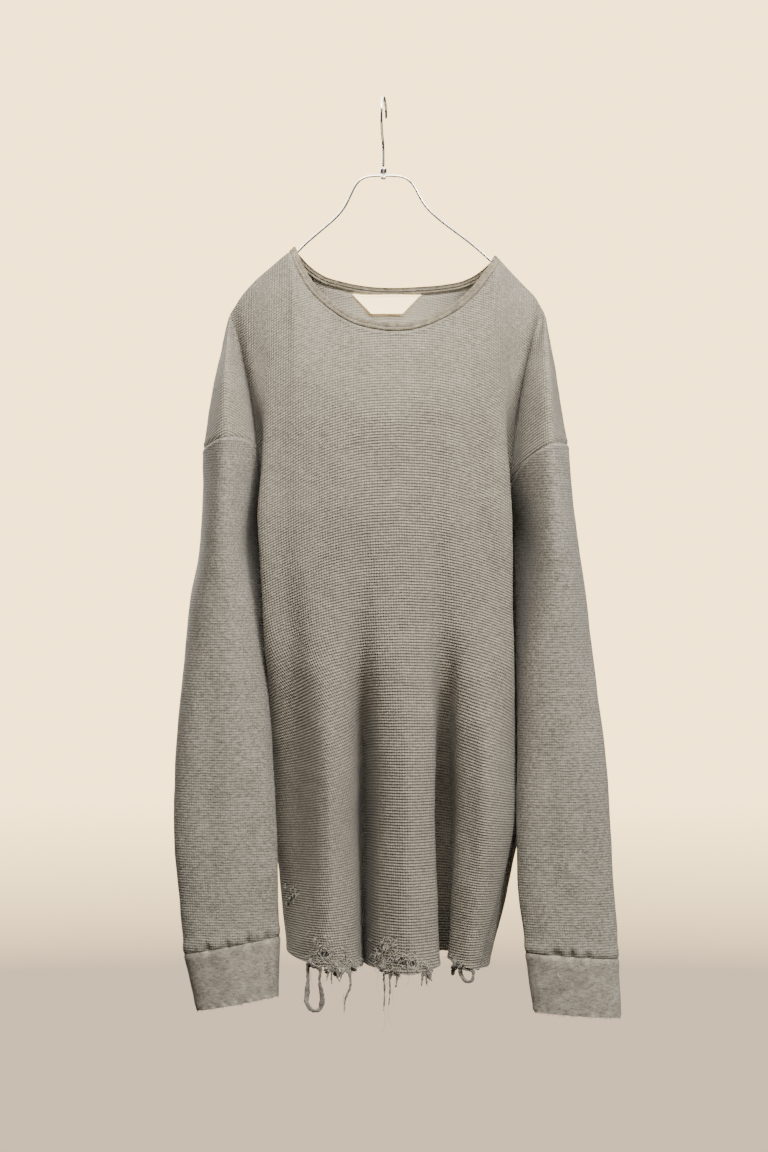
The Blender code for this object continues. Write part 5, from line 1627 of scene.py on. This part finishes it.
def add_world():
    """Pale warm walls on all sides as the camera sees them, which light the garment only a little."""
    world = bpy.data.worlds.new("Studio")
    bpy.context.scene.world = world
    world.use_nodes = True
    nodes = Nodes(world.node_tree)
    _, _, height = nodes.split(nodes.node("ShaderNodeTexCoord")["Generated"])
    path = nodes.node("ShaderNodeLightPath")
    colour = nodes.mix(nodes.span(height, *WALL_FADE), WALL_LOW, WALL_HIGH)
    seen = nodes.node("ShaderNodeBackground", {"Color": colour, "Strength": WALL_GLOW})
    felt = world.node_tree.nodes["Background"]
    shine = nodes.span(height, *WORLD_SHINE)
    nodes.feed(felt.inputs["Color"], WORLD_TINT)
    nodes.feed(felt.inputs["Strength"], nodes.math("MULTIPLY_ADD", path["Is Glossy Ray"], shine, WORLD_LIGHT))
    both = nodes.node("ShaderNodeMixShader", {0: path["Is Camera Ray"], 1: felt.outputs[0], 2: seen[0]})
    nodes.feed(world.node_tree.nodes["World Output"].inputs["Surface"], both[0])


def add_light(name, place, toward, size, power, colour):
    lamp = bpy.data.lights.new(name, "AREA")
    lamp.shape = "RECTANGLE"
    lamp.size, lamp.size_y = size
    lamp.energy = power
    lamp.color = colour
    made = placed(name, lamp)
    made.location = place
    made.rotation_euler = (Vector(toward) - Vector(place)).to_track_quat("-Z", "Y").to_euler()


def add_stage():
    add_floor()
    add_world()
    for light in LIGHTS:
        add_light(*light)
    lens = bpy.data.cameras.new("camera")
    lens.lens = LENS
    camera = placed("camera", lens)
    camera.location = (0.0, CAMERA_Y, CAMERA_Z)
    camera.rotation_euler = (math.pi / 2, 0.0, 0.0)
    bpy.context.scene.camera = camera


def add_cloth(surface, offsets, cloths):
    """The cloth that takes the place of solids, by the solid's node, each piece with its slot."""
    pieces = {}
    for panel, wall, cloth, slot in (
        ("front_panel", KNIT_WALL, BODY_KNIT, "waffle_knit"),
        ("back_panel", KNIT_WALL, BODY_KNIT, "waffle_knit"),
        ("sleeve_left", KNIT_WALL, SLEEVE_KNIT, "waffle_knit"),
        ("sleeve_right", KNIT_WALL, SLEEVE_KNIT, "waffle_knit"),
        ("cuff_left", CUFF_WALL, "Heather rib", "plain_rib"),
        ("cuff_right", CUFF_WALL, "Heather rib", "plain_rib"),
        ("neck_band", BAND_WALL, "Neck binding", "plain_rib"),
    ):
        points, faces, grain, count = panel_wall(surface, offsets, panel, wall)
        piece = object_from(panel + "_cloth", points, faces, cloths[cloth], grain)
        # The inner faces take the lighter copy of the knit, which is painted light.
        if cloth == BODY_KNIT:
            piece.data.materials.append(cloths[REVERSE_KNIT_PAINTED_LIGHT])
            for polygon in piece.data.polygons[count : 2 * count]:
                polygon.material_index = 1
        if panel == "front_panel":
            cut_rips(piece, cloths[cloth])
        pieces[panel] = (piece, slot)
    for strip in STRIPS:
        piece = copy_of_node(strip, strip + "_cloth", cloths["Torn strips"], 2, swell=STRIP_SWELL)
        pieces[strip] = (piece, "plain_rib")
    return pieces


def add_threads(surface, yarn):
    """The hem's loose threads, the cuffs' fringes and the stitches round the neck."""
    rng = random.Random(SEED)
    threads = {name: Threads(name) for name in ("hem_threads", "cuff_threads_left", "cuff_threads_right")}
    fray(threads["hem_threads"], surface.tree("front_panel"), rng)
    for side in ("left", "right"):
        rim = surface.path("cuff_" + side, -1)[0]
        fringe(threads["cuff_threads_" + side], rim, rng, FRINGE_COUNT, FRINGE_LENGTH)
    for tail in CUFF_TAILS:
        threads["cuff_threads_right"].hang(tail, FINE_TIP)
    stitches = threads["neck_band_stitches"] = Threads("neck_band_stitches")
    path, ways = surface.path("neck_band", BAND_STITCH_ROW)
    raised = [point + way * BAND_WALL / 2 for point, way in zip(path, ways)]
    stitch_row(stitches, raised, ways)
    return {name: made.finish(yarn) for name, made in threads.items()}


def dress():
    waffle, heather = waffle_group(), heather_group()
    cloths = {name: knit_material(name, waffle, heather, knit) for name, knit in KNITS.items()}
    cloths.update({name: plain_material(name, heather, plain) for name, plain in PLAINS.items()})
    surface = garment_surface()
    offsets = surface.offsets()
    surface.crease(offsets)

    pieces = add_cloth(surface, offsets, cloths)
    turning = add_hem_turning(surface, cloths["Hem turning painted shade"])
    label, label_stitches = add_label(surface, label_material(), cloths["Cream thread"])
    pieces["neck_label"] = (label, "label")
    chrome = chrome_material()
    for node in ("hanger_frame", "hanger_hook"):
        pieces[node] = (copy_of_node(node, node + "_wire", chrome, 1), "chrome")
    for node in ("hanger_ferrule", "hanger_rivet"):
        pieces[node] = (copy_of_node(node, node + "_turned", chrome, 0, keep_edges=True), "chrome")
    for node, (piece, slot) in pieces.items():
        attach(piece, "root")
        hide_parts(node)

    threads = add_threads(surface, cloths["Loose yarn"])
    extras = [(label_stitches, "label"), (turning, "waffle_knit")]
    for piece, slot in extras + [(piece, "plain_rib") for piece in threads.values()]:
        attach(piece, "root")


dress()
add_stage()
